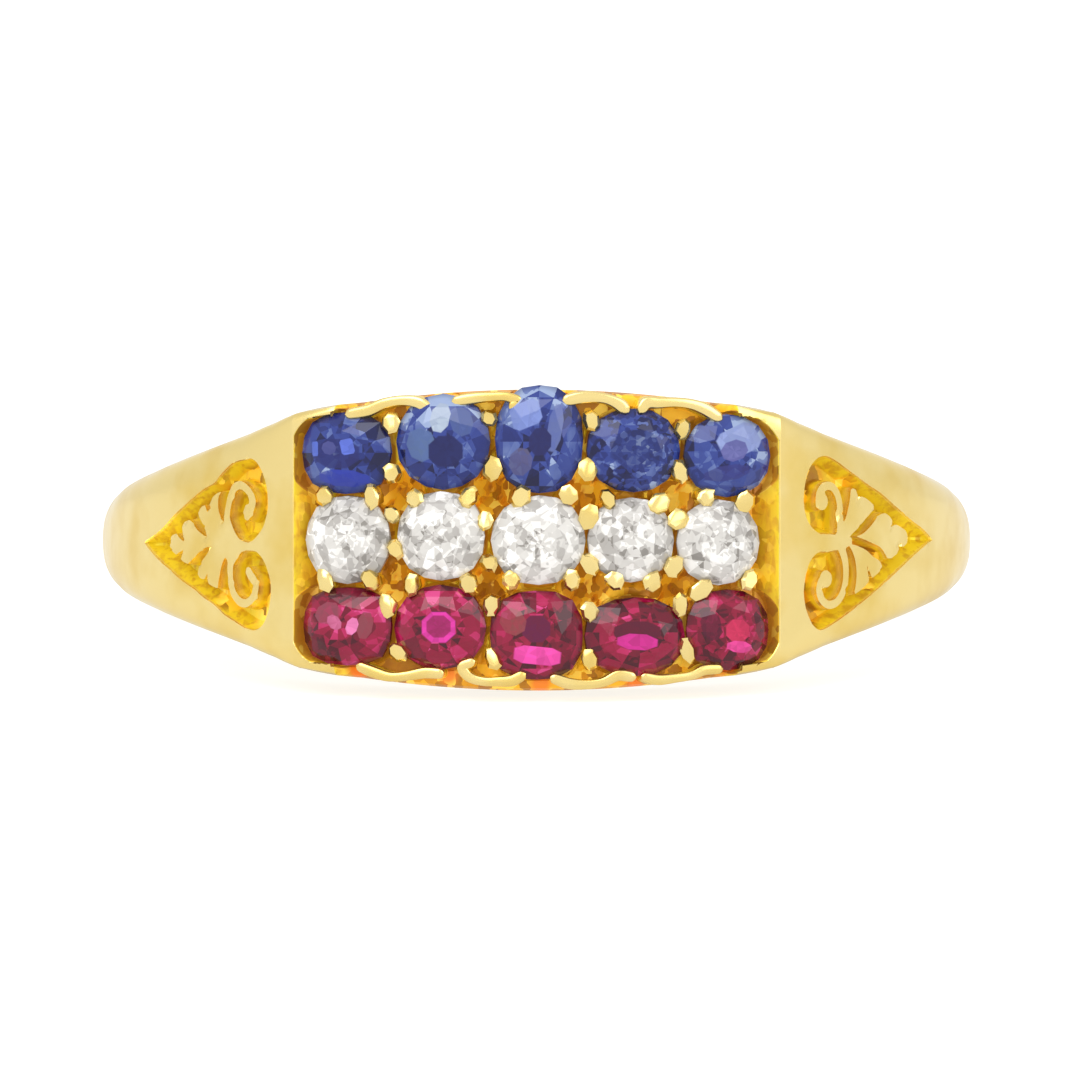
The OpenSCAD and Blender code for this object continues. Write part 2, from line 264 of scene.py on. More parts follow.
    def on_wall(self, s: np.ndarray, top: np.ndarray, down: np.ndarray) -> np.ndarray:
        """Finds points of a side wall.

        Args:
            s: (N,) lengths along the face.
            top: (N, 3) points at the wall's top.
            down: (N,) shares of the way down to the finger hole.

        Returns:
            (N, 3) upright points.
        """
        points, _ = self.face(s)
        power, half = self.power(points), self.half_width(points)
        reach = math.cos(math.radians(self.section_edge_deg)) ** (2 / power) * (1 - down)
        z = np.sign(top[:, 2]) * half * (1 - reach**power) ** (1 / power)
        foot = points / np.linalg.norm(points, axis=1)[:, None] * (self.bore_r + self.bore_bevel)
        flat = top[:, :2] * (1 - down)[:, None] + foot * down[:, None]
        return np.column_stack([flat, z])

    def on_bore(self, s: np.ndarray, across: np.ndarray) -> np.ndarray:
        """Places points on the finger hole's wall.

        Args:
            s: (N,) lengths along the face.
            across: (N,) places across the wall, from -1 to 1.

        Returns:
            (N, 3) upright points.
        """
        points, _ = self.face(s)
        foot = points / np.linalg.norm(points, axis=1)[:, None] * self.bore_r
        return np.column_stack([foot, across * (self.half_width(points) - self.bore_bevel)])


@dataclass(frozen=True)
class Seat:
    """One stone's place on the head, within 0.05 mm of where the part's source has it."""

    name: str
    along: float
    across: float
    length: float
    height: float
    square: float

    def norm(self, u: np.ndarray, z: np.ndarray) -> np.ndarray:
        """Measures how far points lie from the stone's middle.

        Args:
            u: (N,) lengths at the girdles' level.
            z: (N,) heights.

        Returns:
            (N,) shares of the stone's size, 1 being its outline.
        """
        du = np.abs(u - self.along) / (self.length / 2)
        dz = np.abs(z - self.across) / (self.height / 2)
        return (du**self.square + dz**self.square) ** (1 / self.square)

    def outside(self, u: np.ndarray, z: np.ndarray) -> np.ndarray:
        """Returns roughly how many millimetres points lie outside the stone's outline."""
        return (self.norm(u, z) - 1) * (self.length + self.height) / 4


# Each stone's name, place along and across the head, length, height and squareness
SAPPHIRES = (
    Seat("sapphire_1", -4.26, 1.92, 2.02, 1.76, 2.5),
    Seat("sapphire_2", -2.05, 2.16, 2.04, 2.07, 2.1),
    Seat("sapphire_3", 0.06, 2.22, 1.88, 2.34, 2.35),
    Seat("sapphire_4", 2.14, 1.98, 2.03, 1.80, 2.2),
    Seat("sapphire_5", 4.28, 1.86, 1.98, 1.79, 2.1),
)
DIAMONDS = (
    Seat("diamond_1", -4.23, 0.01, 1.92, 1.90, 2.2),
    Seat("diamond_2", -2.10, 0.09, 1.90, 1.92, 2.2),
    Seat("diamond_3", 0.04, 0.0, 2.02, 1.94, 2.1),
    Seat("diamond_4", 2.08, 0.01, 1.88, 1.83, 2.1),
    Seat("diamond_5", 4.07, -0.05, 1.88, 1.85, 2.1),
)
RUBIES = (
    Seat("ruby_1", -4.24, -1.90, 2.00, 1.68, 2.8),
    Seat("ruby_2", -2.12, -1.92, 2.00, 1.83, 2.1),
    Seat("ruby_3", 0.0, -2.09, 1.98, 1.92, 2.7),
    Seat("ruby_4", 2.17, -2.12, 2.18, 1.70, 2.3),
    Seat("ruby_5", 4.29, -1.98, 1.88, 1.74, 2.4),
)
ROWS = (SAPPHIRES, DIAMONDS, RUBIES)
SEATS = SAPPHIRES + DIAMONDS + RUBIES


@dataclass
class Sheet:
    """Triangles in flat coordinates, which can be split along the zero line of a field."""

    points: np.ndarray
    faces: np.ndarray

    def cut(self, across: Field, snap: float = 0.008) -> None:
        """Splits the triangles that a field's zero line crosses.

        Args:
            across: gives the field at (N, 2) points.
            snap: points this near to the line count as on it.
        """
        value = across(self.points)
        value = np.where(np.abs(value) < snap, 0.0, value)
        sign = np.sign(value)
        tri = sign[self.faces]
        crossed = (tri.min(axis=1) < 0) & (tri.max(axis=1) > 0)
        if not crossed.any():
            return
        kept, split = self.faces[~crossed], self.faces[crossed]
        corners = np.stack([split, np.roll(split, -1, axis=1)], axis=2).reshape(-1, 2)
        opposite = sign[corners[:, 0]] * sign[corners[:, 1]] < 0
        edges, place = np.unique(np.sort(corners[opposite], axis=1), axis=0, return_inverse=True)
        made = np.full(len(corners), -1)
        made[opposite] = len(self.points) + place.reshape(-1)
        self.points = np.vstack([self.points, self.crossings(across, value, edges)])
        self.faces = np.vstack([kept, *self.pieces(split, made.reshape(-1, 3))])

    def crossings(self, across: Field, value: np.ndarray, edges: np.ndarray) -> np.ndarray:
        """Finds where a field is zero on edges whose ends lie on either side of its line.

        Args:
            across: gives the field at (N, 2) points.
            value: the field at the sheet's points.
            edges: (M, 2) vertices.

        Returns:
            (M, 2) points.
        """
        start, end = self.points[edges[:, 0]], self.points[edges[:, 1]]
        low, high = np.zeros(len(edges)), np.ones(len(edges))
        at_low, at_high = value[edges[:, 0]], value[edges[:, 1]]
        share = at_low / (at_low - at_high)
        for _ in range(3):
            here = across(start + (end - start) * share[:, None])
            same = np.sign(here) == np.sign(at_low)
            low, at_low = np.where(same, share, low), np.where(same, here, at_low)
            high, at_high = np.where(same, high, share), np.where(same, at_high, here)
            gap = np.where(np.abs(at_low - at_high) < 1e-12, 1e-12, at_low - at_high)
            share = low + (high - low) * np.clip(at_low / gap, *CROSSING_RANGE)
        return start + (end - start) * share[:, None]

    @staticmethod
    def pieces(split: np.ndarray, made: np.ndarray) -> list[np.ndarray]:
        """Divides triangles at the points that a line makes on their edges.

        Args:
            split: (M, 3) triangles.
            made: (M, 3) new vertices on the edges that leave each corner, or -1.

        Returns:
            The triangles that take their place.
        """
        parts = []
        for k in range(3):
            a, b, c = split[:, k], split[:, (k + 1) % 3], split[:, (k + 2) % 3]
            ab, bc, ca = made[:, k], made[:, (k + 1) % 3], made[:, (k + 2) % 3]
            lone = (ab >= 0) & (ca >= 0)
            through = (bc >= 0) & (ab < 0) & (ca < 0)
            for corners, here in (
                ((a, ab, ca), lone), ((ab, b, c), lone), ((ab, c, ca), lone),
                ((a, b, bc), through), ((a, bc, c), through),
            ):
                parts.append(np.stack(corners, axis=1)[here])
        return parts


def polygon_distance(points: np.ndarray, outline: np.ndarray) -> np.ndarray:
    """Measures the distance to a closed outline.

    Args:
        points: (N, 2) points.
        outline: (M, 2) corners of the outline.

    Returns:
        (N,) distances, negative inside the outline.
    """
    best = np.full(len(points), np.inf)
    inside = np.zeros(len(points), dtype=bool)
    for a, b in zip(outline, np.roll(outline, -1, axis=0)):
        run = b - a
        share = np.clip(((points - a) @ run) / max(run @ run, 1e-12), 0, 1)
        best = np.minimum(best, np.hypot(*(points - a - share[:, None] * run).T))
        rises = (a[1] > points[:, 1]) != (b[1] > points[:, 1])
        if rises.any():
            cross = a[0] + (points[:, 1] - a[1]) / (b[1] - a[1] or 1e-12) * run[0]
            inside ^= rises & (points[:, 0] < cross)
    return np.where(inside, -best, best)


def path_distance(points: np.ndarray, path: np.ndarray, half_w: np.ndarray) -> np.ndarray:
    """Measures the distance to a stroke.

    Args:
        points: (N, 2) points.
        path: (M, 2) points of the stroke's middle line.
        half_w: (M,) half widths of the stroke at those points.

    Returns:
        (N,) distances, negative inside the stroke.
    """
    best = np.full(len(points), np.inf)
    for a, b, wide, narrow in zip(path[:-1], path[1:], half_w[:-1], half_w[1:]):
        run = b - a
        share = np.clip(((points - a) @ run) / max(run @ run, 1e-12), 0, 1)
        away = np.hypot(*(points - a - share[:, None] * run).T)
        best = np.minimum(best, away - wide - (narrow - wide) * share)
    return best


def rounded(outline: np.ndarray, closed: bool, steps: int = 4,
            corner_deg: float = 48) -> np.ndarray:
    """Draws a smooth line through points, which keeps its sharp corners.

    Args:
        outline: (N, 2) points.
        closed: whether the line returns to its start.
        steps: how many pieces each stretch is drawn with.
        corner_deg: a turn above this is a corner.

    Returns:
        (M, 2) points of the smooth line.
    """
    n = len(outline)
    before, after = np.roll(outline, 1, axis=0), np.roll(outline, -1, axis=0)
    run_in, run_out = outline - before, after - outline
    len_in = np.linalg.norm(run_in, axis=1) + 1e-9
    len_out = np.linalg.norm(run_out, axis=1) + 1e-9
    turn = np.degrees(np.arccos(np.clip((run_in * run_out).sum(1) / len_in / len_out, -1, 1)))
    slope = run_in / len_in[:, None] ** 2 + run_out / len_out[:, None] ** 2
    slope = slope / (1 / len_in + 1 / len_out)[:, None]
    corner = turn > corner_deg
    if not closed:
        corner[0] = corner[-1] = True
    drawn = []
    for i in range(n if closed else n - 1):
        j = (i + 1) % n
        a, b = outline[i], outline[j]
        length = np.linalg.norm(b - a)
        start = (b - a) if corner[i] else slope[i] * length
        end = (b - a) if corner[j] else slope[j] * length
        for k in range(steps):
            t = k / steps
            drawn.append(
                (2 * t**3 - 3 * t**2 + 1) * a + (t**3 - 2 * t**2 + t) * start
                + (-2 * t**3 + 3 * t**2) * b + (t**3 - t**2) * end
            )
    if not closed:
        drawn.append(outline[-1])
    return np.array(drawn)


class Side(Enum):
    """The two shoulders."""

    LEFT = -1
    RIGHT = 1


@dataclass(frozen=True)
class Palmette:
    """One shoulder's ornament: a heart-shaped recess round a raised palmette with two scrolls.

    Places are distances from the recess's tip towards the head, and heights above its middle.
    A bead is the round end of a scroll: its place and radius. Each spot of painted shade
    is a place in the recess, its radius and how much darker the gold is painted there.
    """

    side: Side
    tip_deg: float
    heart: tuple[tuple[float, float], ...]
    leaves: tuple[tuple[tuple[float, float], ...], ...]
    scrolls: tuple[tuple[tuple[float, float], ...], ...]
    scroll_half_w: tuple[float, ...]
    beads: tuple[tuple[float, float, float], ...]
    shade_spots: tuple[tuple[float, float, float, float], ...]
    # The most painted shade that the recess's depth gives
    shade: float
    depth: float = 0.4
    slope_w: float = 0.2
    wall_step: float = 0.12
    leaf_corner_deg: float = 40
    relief_w: float = 0.055
    bevel: float = 0.03
    middle: float = 2.6
    half_l: float = 3.2
    half_h: float = 2.3
    # Painted shade over the whole floor of the recess
    ground_tone: float = 0.3

    def beside(self, places: np.ndarray) -> np.ndarray:
        """Returns whether places are level with the ornament along the shoulder."""
        return np.abs(places[:, 0] - self.middle) < self.half_l

    def local(self, profile: RingProfile, s: np.ndarray, z: np.ndarray) -> np.ndarray:
        """Returns (N, 2) ornament places of points on the shoulder."""
        return np.column_stack([profile.tip_s(self.tip_deg) - s * self.side.value, z])

    def wall(self, places: np.ndarray) -> np.ndarray:
        """Returns how far places lie outside the heart, negative within it."""
        return polygon_distance(places, rounded(np.array(self.heart), True))

    def relief(self, places: np.ndarray) -> np.ndarray:
        """Measures how far places lie outside the palmette.

        Args:
            places: (N, 2) ornament places.

        Returns:
            (N,) distances, negative on the palmette.
        """
        best = np.full(len(places), np.inf)
        for leaf in self.leaves:
            outline = rounded(np.array(leaf), True, steps=3, corner_deg=self.leaf_corner_deg)
            best = np.minimum(best, polygon_distance(places, outline))
        for scroll in self.scrolls:
            path = rounded(np.array(scroll), False, steps=4, corner_deg=NO_CORNER_DEG)
            half_w = np.interp(
                np.linspace(0, 1, len(path)),
                np.linspace(0, 1, len(self.scroll_half_w)),
                self.scroll_half_w,
            )
            best = np.minimum(best, path_distance(places, path, half_w))
        for along, across, radius in self.beads:
            best = np.minimum(best, np.hypot(places[:, 0] - along, places[:, 1] - across) - radius)
        return best

    def sunk(self, places: np.ndarray) -> np.ndarray:
        """Finds the depth of the ornament.

        Args:
            places: (N, 2) ornament places.

        Returns:
            (N,) depths below the shoulder's face.
        """
        near = self.beside(places) & (np.abs(places[:, 1]) < self.half_h)
        depth = np.zeros(len(places))
        wall, relief = self.wall(places[near]), self.relief(places[near])
        slope = self.wall_step + (1 - self.wall_step) * ramp(-wall, 0, self.slope_w)
        heart = np.where(wall < 0, slope, 0)
        ground = heart * ramp(-wall, 0, self.bevel)
        raised = ramp(relief, 0, self.relief_w)
        depth[near] = self.depth * ground * raised
        return depth

    def tone(self, places: np.ndarray) -> np.ndarray:
        """Finds how much painted shade darkens the gold, more where the recess is deeper.

        Args:
            places: (N, 2) ornament places.

        Returns:
            (N,) tones: 0 on the polished face, more in the recess.
        """
        inside = ramp(-self.wall(places), 0, self.bevel)
        inside = inside * ramp(self.relief(places), 0, self.relief_w)
        tone = np.minimum(self.sunk(places), self.shade)
        tone = np.maximum(tone, self.ground_tone * inside)
        # Spots of extra painted shade in the recess
        for along, across, radius, dark in self.shade_spots:
            away = np.hypot(places[:, 0] - along, places[:, 1] - across) / radius
            tone += dark * inside * np.exp(-(away**2))
        return tone


LEFT_PALMETTE = Palmette(
    side=Side.LEFT,
    tip_deg=64.8,
    heart=(
        (0, -0.05), (0.47, 0.09), (0.91, 0.25), (1.34, 0.485), (1.68, 0.67), (2.04, 0.844),
        (2.38, 1.017), (2.71, 1.166), (3.01, 1.27), (3.18, 1.413), (3.41, 1.587), (3.6, 1.7),
        (3.81, 1.76), (4.02, 1.785), (4.23, 1.8), (4.36, 1.735), (4.5, 1.587), (4.62, 1.364),
        (4.69, 1.166), (4.72, 0.918), (4.72, 0.695), (4.67, 0.5), (4.57, 0.275), (4.4, 0.09),
        (4.23, -0.027), (4.075, -0.06), (3.92, -0.02), (3.9, -0.23), (4.19, -0.235),
        (4.35, -0.25), (4.48, -0.33), (4.62, -0.49), (4.72, -0.69), (4.79, -0.89), (4.81, -1.09),
        (4.79, -1.31), (4.74, -1.557), (4.65, -1.755), (4.53, -1.9), (4.36, -1.99),
        (4.16, -1.99), (3.95, -1.93), (3.74, -1.84), (3.52, -1.743), (3.3, -1.64),
        (3.11, -1.507), (2.91, -1.396), (2.63, -1.285), (2.3, -1.11), (2, -0.99), (1.63, -0.84),
        (1.24, -0.65), (0.83, -0.48), (0.45, -0.295), (0.16, -0.146),
    ),
    leaves=(
        (
            (1.25, -0.02), (1.32, 0.07), (1.44, 0.12), (1.56, 0.146), (1.68, 0.052),
            (1.93, -0.067), (1.87, 0.027), (1.82, 0.163), (1.79, 0.3), (1.88, 0.394),
            (2.08, 0.455), (2.21, 0.386), (2.38, 0.23), (2.59, 0.12), (2.77, 0.027),
            (2.71, 0.176), (2.57, 0.386), (2.47, 0.5), (2.42, 0.6), (2.51, 0.715), (2.67, 0.78),
            (2.73, 0.67), (2.8, 0.53), (2.82, 0.7), (2.85, 0.82), (2.93, 0.93), (3.07, 1.02),
            (3.2, 1.07), (3.15, 0.92), (3.14, 0.77), (3.16, 0.646), (3.23, 0.5), (3.295, 0.3),
            (3.35, 0.077), (3.44, 0.3), (3.52, 0.5), (3.72, 0.15), (3.88, 0), (4.05, -0.045),
            (5.2, -0.045), (5.2, -0.235), (4.05, -0.235), (3.9, -0.28), (3.83, -0.345),
            (3.72, -0.47), (3.6, -0.6), (3.5, -0.5), (3.38, -0.374), (3.31, -0.468),
            (3.25, -0.59), (3.19, -0.79), (3.14, -0.963), (3.125, -1.08), (2.95, -1.025),
            (2.81, -0.975), (2.76, -0.85), (2.77, -0.73), (2.71, -0.8), (2.65, -0.876),
            (2.49, -0.84), (2.4, -0.752), (2.43, -0.64), (2.51, -0.517), (2.71, -0.344),
            (2.83, -0.22), (2.91, -0.146), (2.71, -0.166), (2.51, -0.245), (2.32, -0.356),
            (2.12, -0.48), (2.02, -0.53), (1.86, -0.49), (1.74, -0.43), (1.8, -0.33),
            (1.85, -0.22), (1.68, -0.275), (1.55, -0.327), (1.42, -0.27), (1.29, -0.16),
        ),
    ),
    scrolls=(
        (
            (3.45, 0.08), (3.43, 0.3), (3.44, 0.55), (3.485, 0.745), (3.565, 0.97), (3.7, 1.165),
            (3.865, 1.215), (4.06, 1.14), (4.21, 0.99), (4.26, 0.84), (4.18, 0.65), (4.09, 0.52),
        ),
        (
            (3.62, -0.25), (3.57, -0.44), (3.545, -0.615), (3.55, -0.815), (3.59, -1.035),
            (3.7, -1.235), (3.865, -1.37), (4.06, -1.4), (4.23, -1.31), (4.335, -1.16),
            (4.355, -1.01), (4.3, -0.895), (4.21, -0.8), (4.13, -0.69),
        ),
    ),
    scroll_half_w=(0.12, 0.1, 0.09, 0.085, 0.09, 0.095, 0.09, 0.085, 0.09, 0.1, 0.1, 0.09),
    beads=((4.12, 0.64, 0.15),),
    # Spots of painted shade in the recess
    shade_spots=(
        (4.6, 0.75, 0.3, 0.2), (3.95, 1.4, 0.28, 0.18), (3.15, 1.2, 0.3, 0.15),
        (1.02, -0.02, 0.09, 0.6), (4.62, -1.1, 0.3, 0.25), (3.2, -1.3, 0.3, 0.25),
        (2.95, -1.15, 0.07, 0.5), (4.3, -1.75, 0.25, 0.2), (2.35, -0.62, 0.15, 0.3),
    ),
    shade=0.365,
)
RIGHT_PALMETTE = Palmette(
    side=Side.RIGHT,
    tip_deg=65.9,
    heart=(
        (0, 0), (0.51, 0.24), (1.07, 0.43), (1.58, 0.65), (2.05, 0.87), (2.44, 1.06),
        (2.86, 1.22), (3.26, 1.41), (3.6, 1.57), (4, 1.77), (4.3, 1.86), (4.48, 1.84),
        (4.66, 1.74), (4.83, 1.53), (4.93, 1.25), (4.97, 0.93), (4.94, 0.62), (4.84, 0.4),
        (4.65, 0.22), (4.44, 0.12), (4.22, 0.09), (4.02, 0.06), (4.02, -0.2), (4.27, -0.21),
        (4.48, -0.25), (4.65, -0.34), (4.8, -0.5), (4.88, -0.69), (4.94, -0.91), (4.97, -1.16),
        (4.9, -1.53), (4.81, -1.72), (4.67, -1.9), (4.5, -1.99), (4.34, -1.97), (4.03, -1.85),
        (3.49, -1.59), (2.69, -1.18), (1.82, -0.74), (1.33, -0.5), (0.8, -0.27), (0.34, -0.1),
    ),
    leaves=(
        (
            (3.3, 0.08), (3.1, 0.13), (2.78, 0.31), (2.44, 0.56), (2.27, 0.6), (2.05, 0.52),
            (1.9, 0.4), (2.08, 0.24), (1.83, 0.34), (1.56, 0.28), (1.33, 0.17), (1.27, 0.05),
            (1.31, -0.07), (1.49, -0.15), (1.6, -0.13), (1.91, 0.06), (1.68, -0.16),
            (1.65, -0.26), (1.82, -0.34), (2.01, -0.41), (2.16, -0.4), (2.24, -0.3),
            (2.39, -0.18), (2.69, -0.08), (2.94, -0.01), (3.14, 0.04),
        ),
        (
            (3.6, 0), (3.74, 0.12), (3.67, 0.44), (3.58, 0.69), (3.52, 0.89), (3.49, 1.11),
            (3.43, 1.16), (3.31, 1.11), (3.24, 0.96), (3.22, 0.76), (3.16, 0.97), (3.03, 0.95),
            (2.84, 0.87), (2.6, 0.73), (2.94, 0.49), (3.26, 0.25), (3.53, 0.07),
        ),
        (
            (3.6, -0.08), (3.26, -0.13), (2.94, -0.23), (2.69, -0.37), (2.41, -0.5),
            (2.33, -0.63), (2.52, -0.74), (2.73, -0.85), (2.94, -0.5), (2.84, -0.91),
            (2.9, -0.96), (3.14, -1.11), (3.37, -1.21), (3.3, -0.89), (3.3, -0.62),
            (3.37, -0.37), (3.52, -0.15),
        ),
        (
            (3.45, 0.05), (3.75, 0.1), (5.4, 0.1), (5.4, -0.2), (3.75, -0.2), (3.45, -0.1),
        ),
    ),
    scrolls=(
        (
            (3.85, 0.05), (3.84, 0.34), (3.84, 0.62), (3.87, 0.84), (3.95, 1.03), (4.09, 1.17),
            (4.26, 1.2), (4.41, 1.14), (4.5, 1.02), (4.52, 0.88),
        ),
        (
            (3.82, -0.15), (3.69, -0.42), (3.65, -0.72), (3.7, -1.04), (3.83, -1.27),
            (4.03, -1.41), (4.24, -1.43), (4.42, -1.32), (4.5, -1.1), (4.42, -0.9), (4.3, -0.86),
        ),
    ),
    scroll_half_w=(0.11, 0.1, 0.09, 0.09, 0.09, 0.09, 0.09, 0.1, 0.1, 0.1),
    beads=((4.43, 0.85, 0.19), (4.3, -0.86, 0.19)),
    # Spots of painted shade in the recess
    shade_spots=(
        (2.3, -0.3, 0.28, 0.55), (3.2, -0.05, 0.3, 0.3), (4.75, 1.0, 0.3, 0.3),
        (4.3, 1.35, 0.22, 0.4), (4.75, -0.85, 0.25, 0.2), (4.6, -1.55, 0.35, 0.4),
        (3.45, -0.8, 0.3, 0.3), (1.15, 0.05, 0.22, 0.3), (2.65, -1.0, 0.15, 0.3),
        (3.3, 1.3, 0.25, 0.2),
    ),
    shade=0.4,
)
PALMETTES = (LEFT_PALMETTE, RIGHT_PALMETTE)


@dataclass(frozen=True)
class HeadFloor:
    """The sunk field under the stones, as depths below the head's top."""

    profile: RingProfile
    floor_depth: float = 0.55
    end_slope_w: float = 0.42
    end_edge_w: float = 0.03
    end_slack: float = 0.02
    seat_clear: float = 0.07
    seat_edge_w: float = 0.03
    seat_depth: float = 0.62
    seat_fall: float = 0.36
    hole_r: float = 0.42
    web_depth: float = 0.36
    web_from: float = 0.12
    web_w: float = 0.3
    pit_depth: float = 0.98
    pit_r: float = 0.62
    groove_w: float = 0.07
    groove_least: float = 0.01
    groove_line: float = 0.6
    groove_fade: tuple[float, float] = (0.5, 0.95)
    groove_shade: tuple[float, float] = (0.4, 0.7)
    bite_w: float = 0.25
    bite_close: float = 0.15
    bite_depth: float = 0.5
    bite_edge_w: float = 0.05
    bite_shade_w: float = 0.02
    tip_u: float = 4.5
    tip_z: float = 2.7
    corner_u: float = 4.9
    corner_z: float = 2.2
    corner_slope: float = 2.5
    bite_narrows: tuple[float, float] = (0.1, 0.8)
    # Painted red light: the rubies' red reflection on the rail below them, and warm light painted
    # in the field
    ruby_glint_r: float = 0.24
    ruby_glint_along: float = 0.1
    ruby_glint_below: float = 0.12
    ruby_glint_depths: tuple[float, float] = (0.2, 0.4)
    warm_light: float = 0.2
    warm_light_depths: tuple[float, float] = (0.0, 0.08)
    # Painted shade: how dark the gold is painted on the field's floor, its edge and end walls, in
    # the bites, beside the seats and along the grooves
    floor_tone: float = 0.5
    edge_tone: float = 0.3
    wall_tone: float = 0.36
    wall_tone_rise: float = 0.08
    wall_tone_reach: float = 1.3
    bite_tone: float = 0.92
    seat_tone: float = 0.95
    seat_shade_w: float = 0.1
    seat_shade_depths: tuple[float, float] = (0.4, 0.5)
    groove_tone: float = 1.2

    def flat(self, s: np.ndarray) -> np.ndarray:
        """Returns the lengths at the girdles' level for lengths along the outer face."""
        return s * self.profile.girdle_r / self.profile.head_arc_r

    @property
    def end_u(self) -> float:
        """Length at the girdles' level to the field's end walls."""
        return float(self.flat(np.array(self.profile.corner_s))) - self.end_edge_w

    def meetings(self) -> list[tuple[float, float]]:
        """Finds the places where four stones meet.

        Returns:
            The places' lengths and heights.
        """
        found = []
        for upper, lower in zip(ROWS[:-1], ROWS[1:]):
            for a, b, c, d in zip(upper[:-1], upper[1:], lower[:-1], lower[1:]):
                four = (a, b, c, d)
                found.append(
                    (sum(x.along for x in four) / 4, sum(x.across for x in four) / 4)
                )
        return found

    def end_wall(self, u: np.ndarray, z: np.ndarray) -> np.ndarray:
        """Measures how far inside the field places lie.

        Args:
            u: (N,) lengths at the girdles' level.
            z: (N,) heights.

        Returns:
            (N,) distances from the end walls, which follow the corner stones' outlines.
        """
        tips = np.maximum(self.tip_z - np.abs(z), self.tip_u - np.abs(u))
        inside = np.minimum(self.end_u - np.abs(u), tips)
        free = self.corner_slope * np.maximum(self.corner_u - np.abs(u), 0)
        free += self.corner_slope * np.maximum(self.corner_z - np.abs(z), 0)
        for seat in self.corner_seats():
            near = (u * seat.along > 0) & (z * seat.across > 0)
            follow = self.bite_reach(seat, z) + self.end_edge_w - seat.outside(u, z) + free
            inside = np.where(near, np.minimum(inside, follow), inside)
        return inside

    def bite_reach(self, seat: Seat, z: np.ndarray) -> np.ndarray:
        """Returns how wide a corner stone's bite is at heights: narrow by the ring's edge."""
        past = ramp(np.abs(z) - abs(seat.across), *self.bite_narrows)
        return self.bite_w - self.bite_close * past

    @staticmethod
    def corner_seats() -> list[Seat]:
        """Returns the seats of the four corner stones."""
        return [row[k] for row in (SAPPHIRES, RUBIES) for k in (0, -1)]

    def painted_red_light(self, u: np.ndarray, z: np.ndarray) -> np.ndarray:
        """Finds the gold's painted light: warm in the field, and the rubies' red reflection on the
        rail below them.

        Args:
            u: (N,) lengths at the girdles' level.
            z: (N,) heights.

        Returns:
            (N,) shares of red.
        """
        best = np.zeros(len(u))
        for seat in RUBIES:
            below = z - seat.across + seat.height / 2 + self.ruby_glint_below
            away = np.hypot(u - seat.along - self.ruby_glint_along, below)
            best = np.maximum(best, np.exp(-((away / self.ruby_glint_r) ** 2)))
        sunk = self.sunk(u, z)
        red = best * ramp(sunk, *self.ruby_glint_depths)
        return np.maximum(red, self.warm_light * ramp(sunk, *self.warm_light_depths))

    def seats(self, u: np.ndarray, z: np.ndarray) -> np.ndarray:
        """Returns how far outside the nearest stone places lie."""
        return np.min([seat.outside(u, z) for seat in SEATS], axis=0)

    def holes(self, u: np.ndarray, z: np.ndarray) -> np.ndarray:
        """Returns how far outside the nearest seat hole places lie."""
        away = [np.hypot(u - seat.along, z - seat.across) for seat in SEATS]
        return np.min(away, axis=0) - self.hole_r

    def sunk(self, u: np.ndarray, z: np.ndarray) -> np.ndarray:
        """Finds the depth of the field.

        Args:
            u: (N,) lengths at the girdles' level.
            z: (N,) heights.

        Returns:
            (N,) depths below the head's top.
        """
        inside = self.end_wall(u, z)
        depth = self.floor_depth * ramp(inside, 0, self.end_slope_w)
        gaps = np.sort([seat.outside(u, z) for seat in SEATS], axis=0)
        web = (gaps[1] < self.web_w) & (inside > self.end_slope_w)
        fallen = ramp(gaps[1], self.web_from, self.web_w)
        depth = np.where(web, self.web_depth + (depth - self.web_depth) * fallen, depth)
        for along, across in self.meetings():
            du, dz = u - along, z - across
            away = np.hypot(du, dz)
            pit = self.pit_depth - (self.pit_depth - self.floor_depth) * away / self.pit_r
            groove = self.from_cross(du, dz)
            fade = 1 - ramp(away, *self.groove_fade)
            cut = (self.pit_depth - self.floor_depth) * (1 - ramp(groove, 0, self.groove_w)) * fade
            depth = np.maximum(depth, np.where(away < self.pit_r, pit, 0))
            depth = np.maximum(depth, np.where(cut > self.groove_least, self.floor_depth + cut, 0))
        norm = np.min([seat.norm(u, z) for seat in SEATS], axis=0)
        bowl = self.seat_depth + self.seat_fall * (1 - np.clip(norm, 0, 1))
        seated = bowl * ramp(-gaps[0], -self.seat_clear, -self.seat_clear + self.seat_edge_w)
        bitten = self.bite_depth * ramp(-self.bites(u, z), 0, self.bite_edge_w)
        return np.where(inside > -self.end_slack, np.maximum(np.maximum(depth, seated), bitten), 0)

    def bites(self, u: np.ndarray, z: np.ndarray) -> np.ndarray:
        """Measures how far places lie outside the corner stones' bites.

        Args:
            u: (N,) lengths at the girdles' level.
            z: (N,) heights.

        Returns:
            (N,) distances, negative in a bite.
        """
        away = [
            np.where(
                np.abs(u) > abs(seat.along), seat.outside(u, z) - self.bite_reach(seat, z), 1.0
            )
            for seat in self.corner_seats()
        ]
        return np.maximum(np.min(away, axis=0), self.end_edge_w - self.end_wall(u, z))

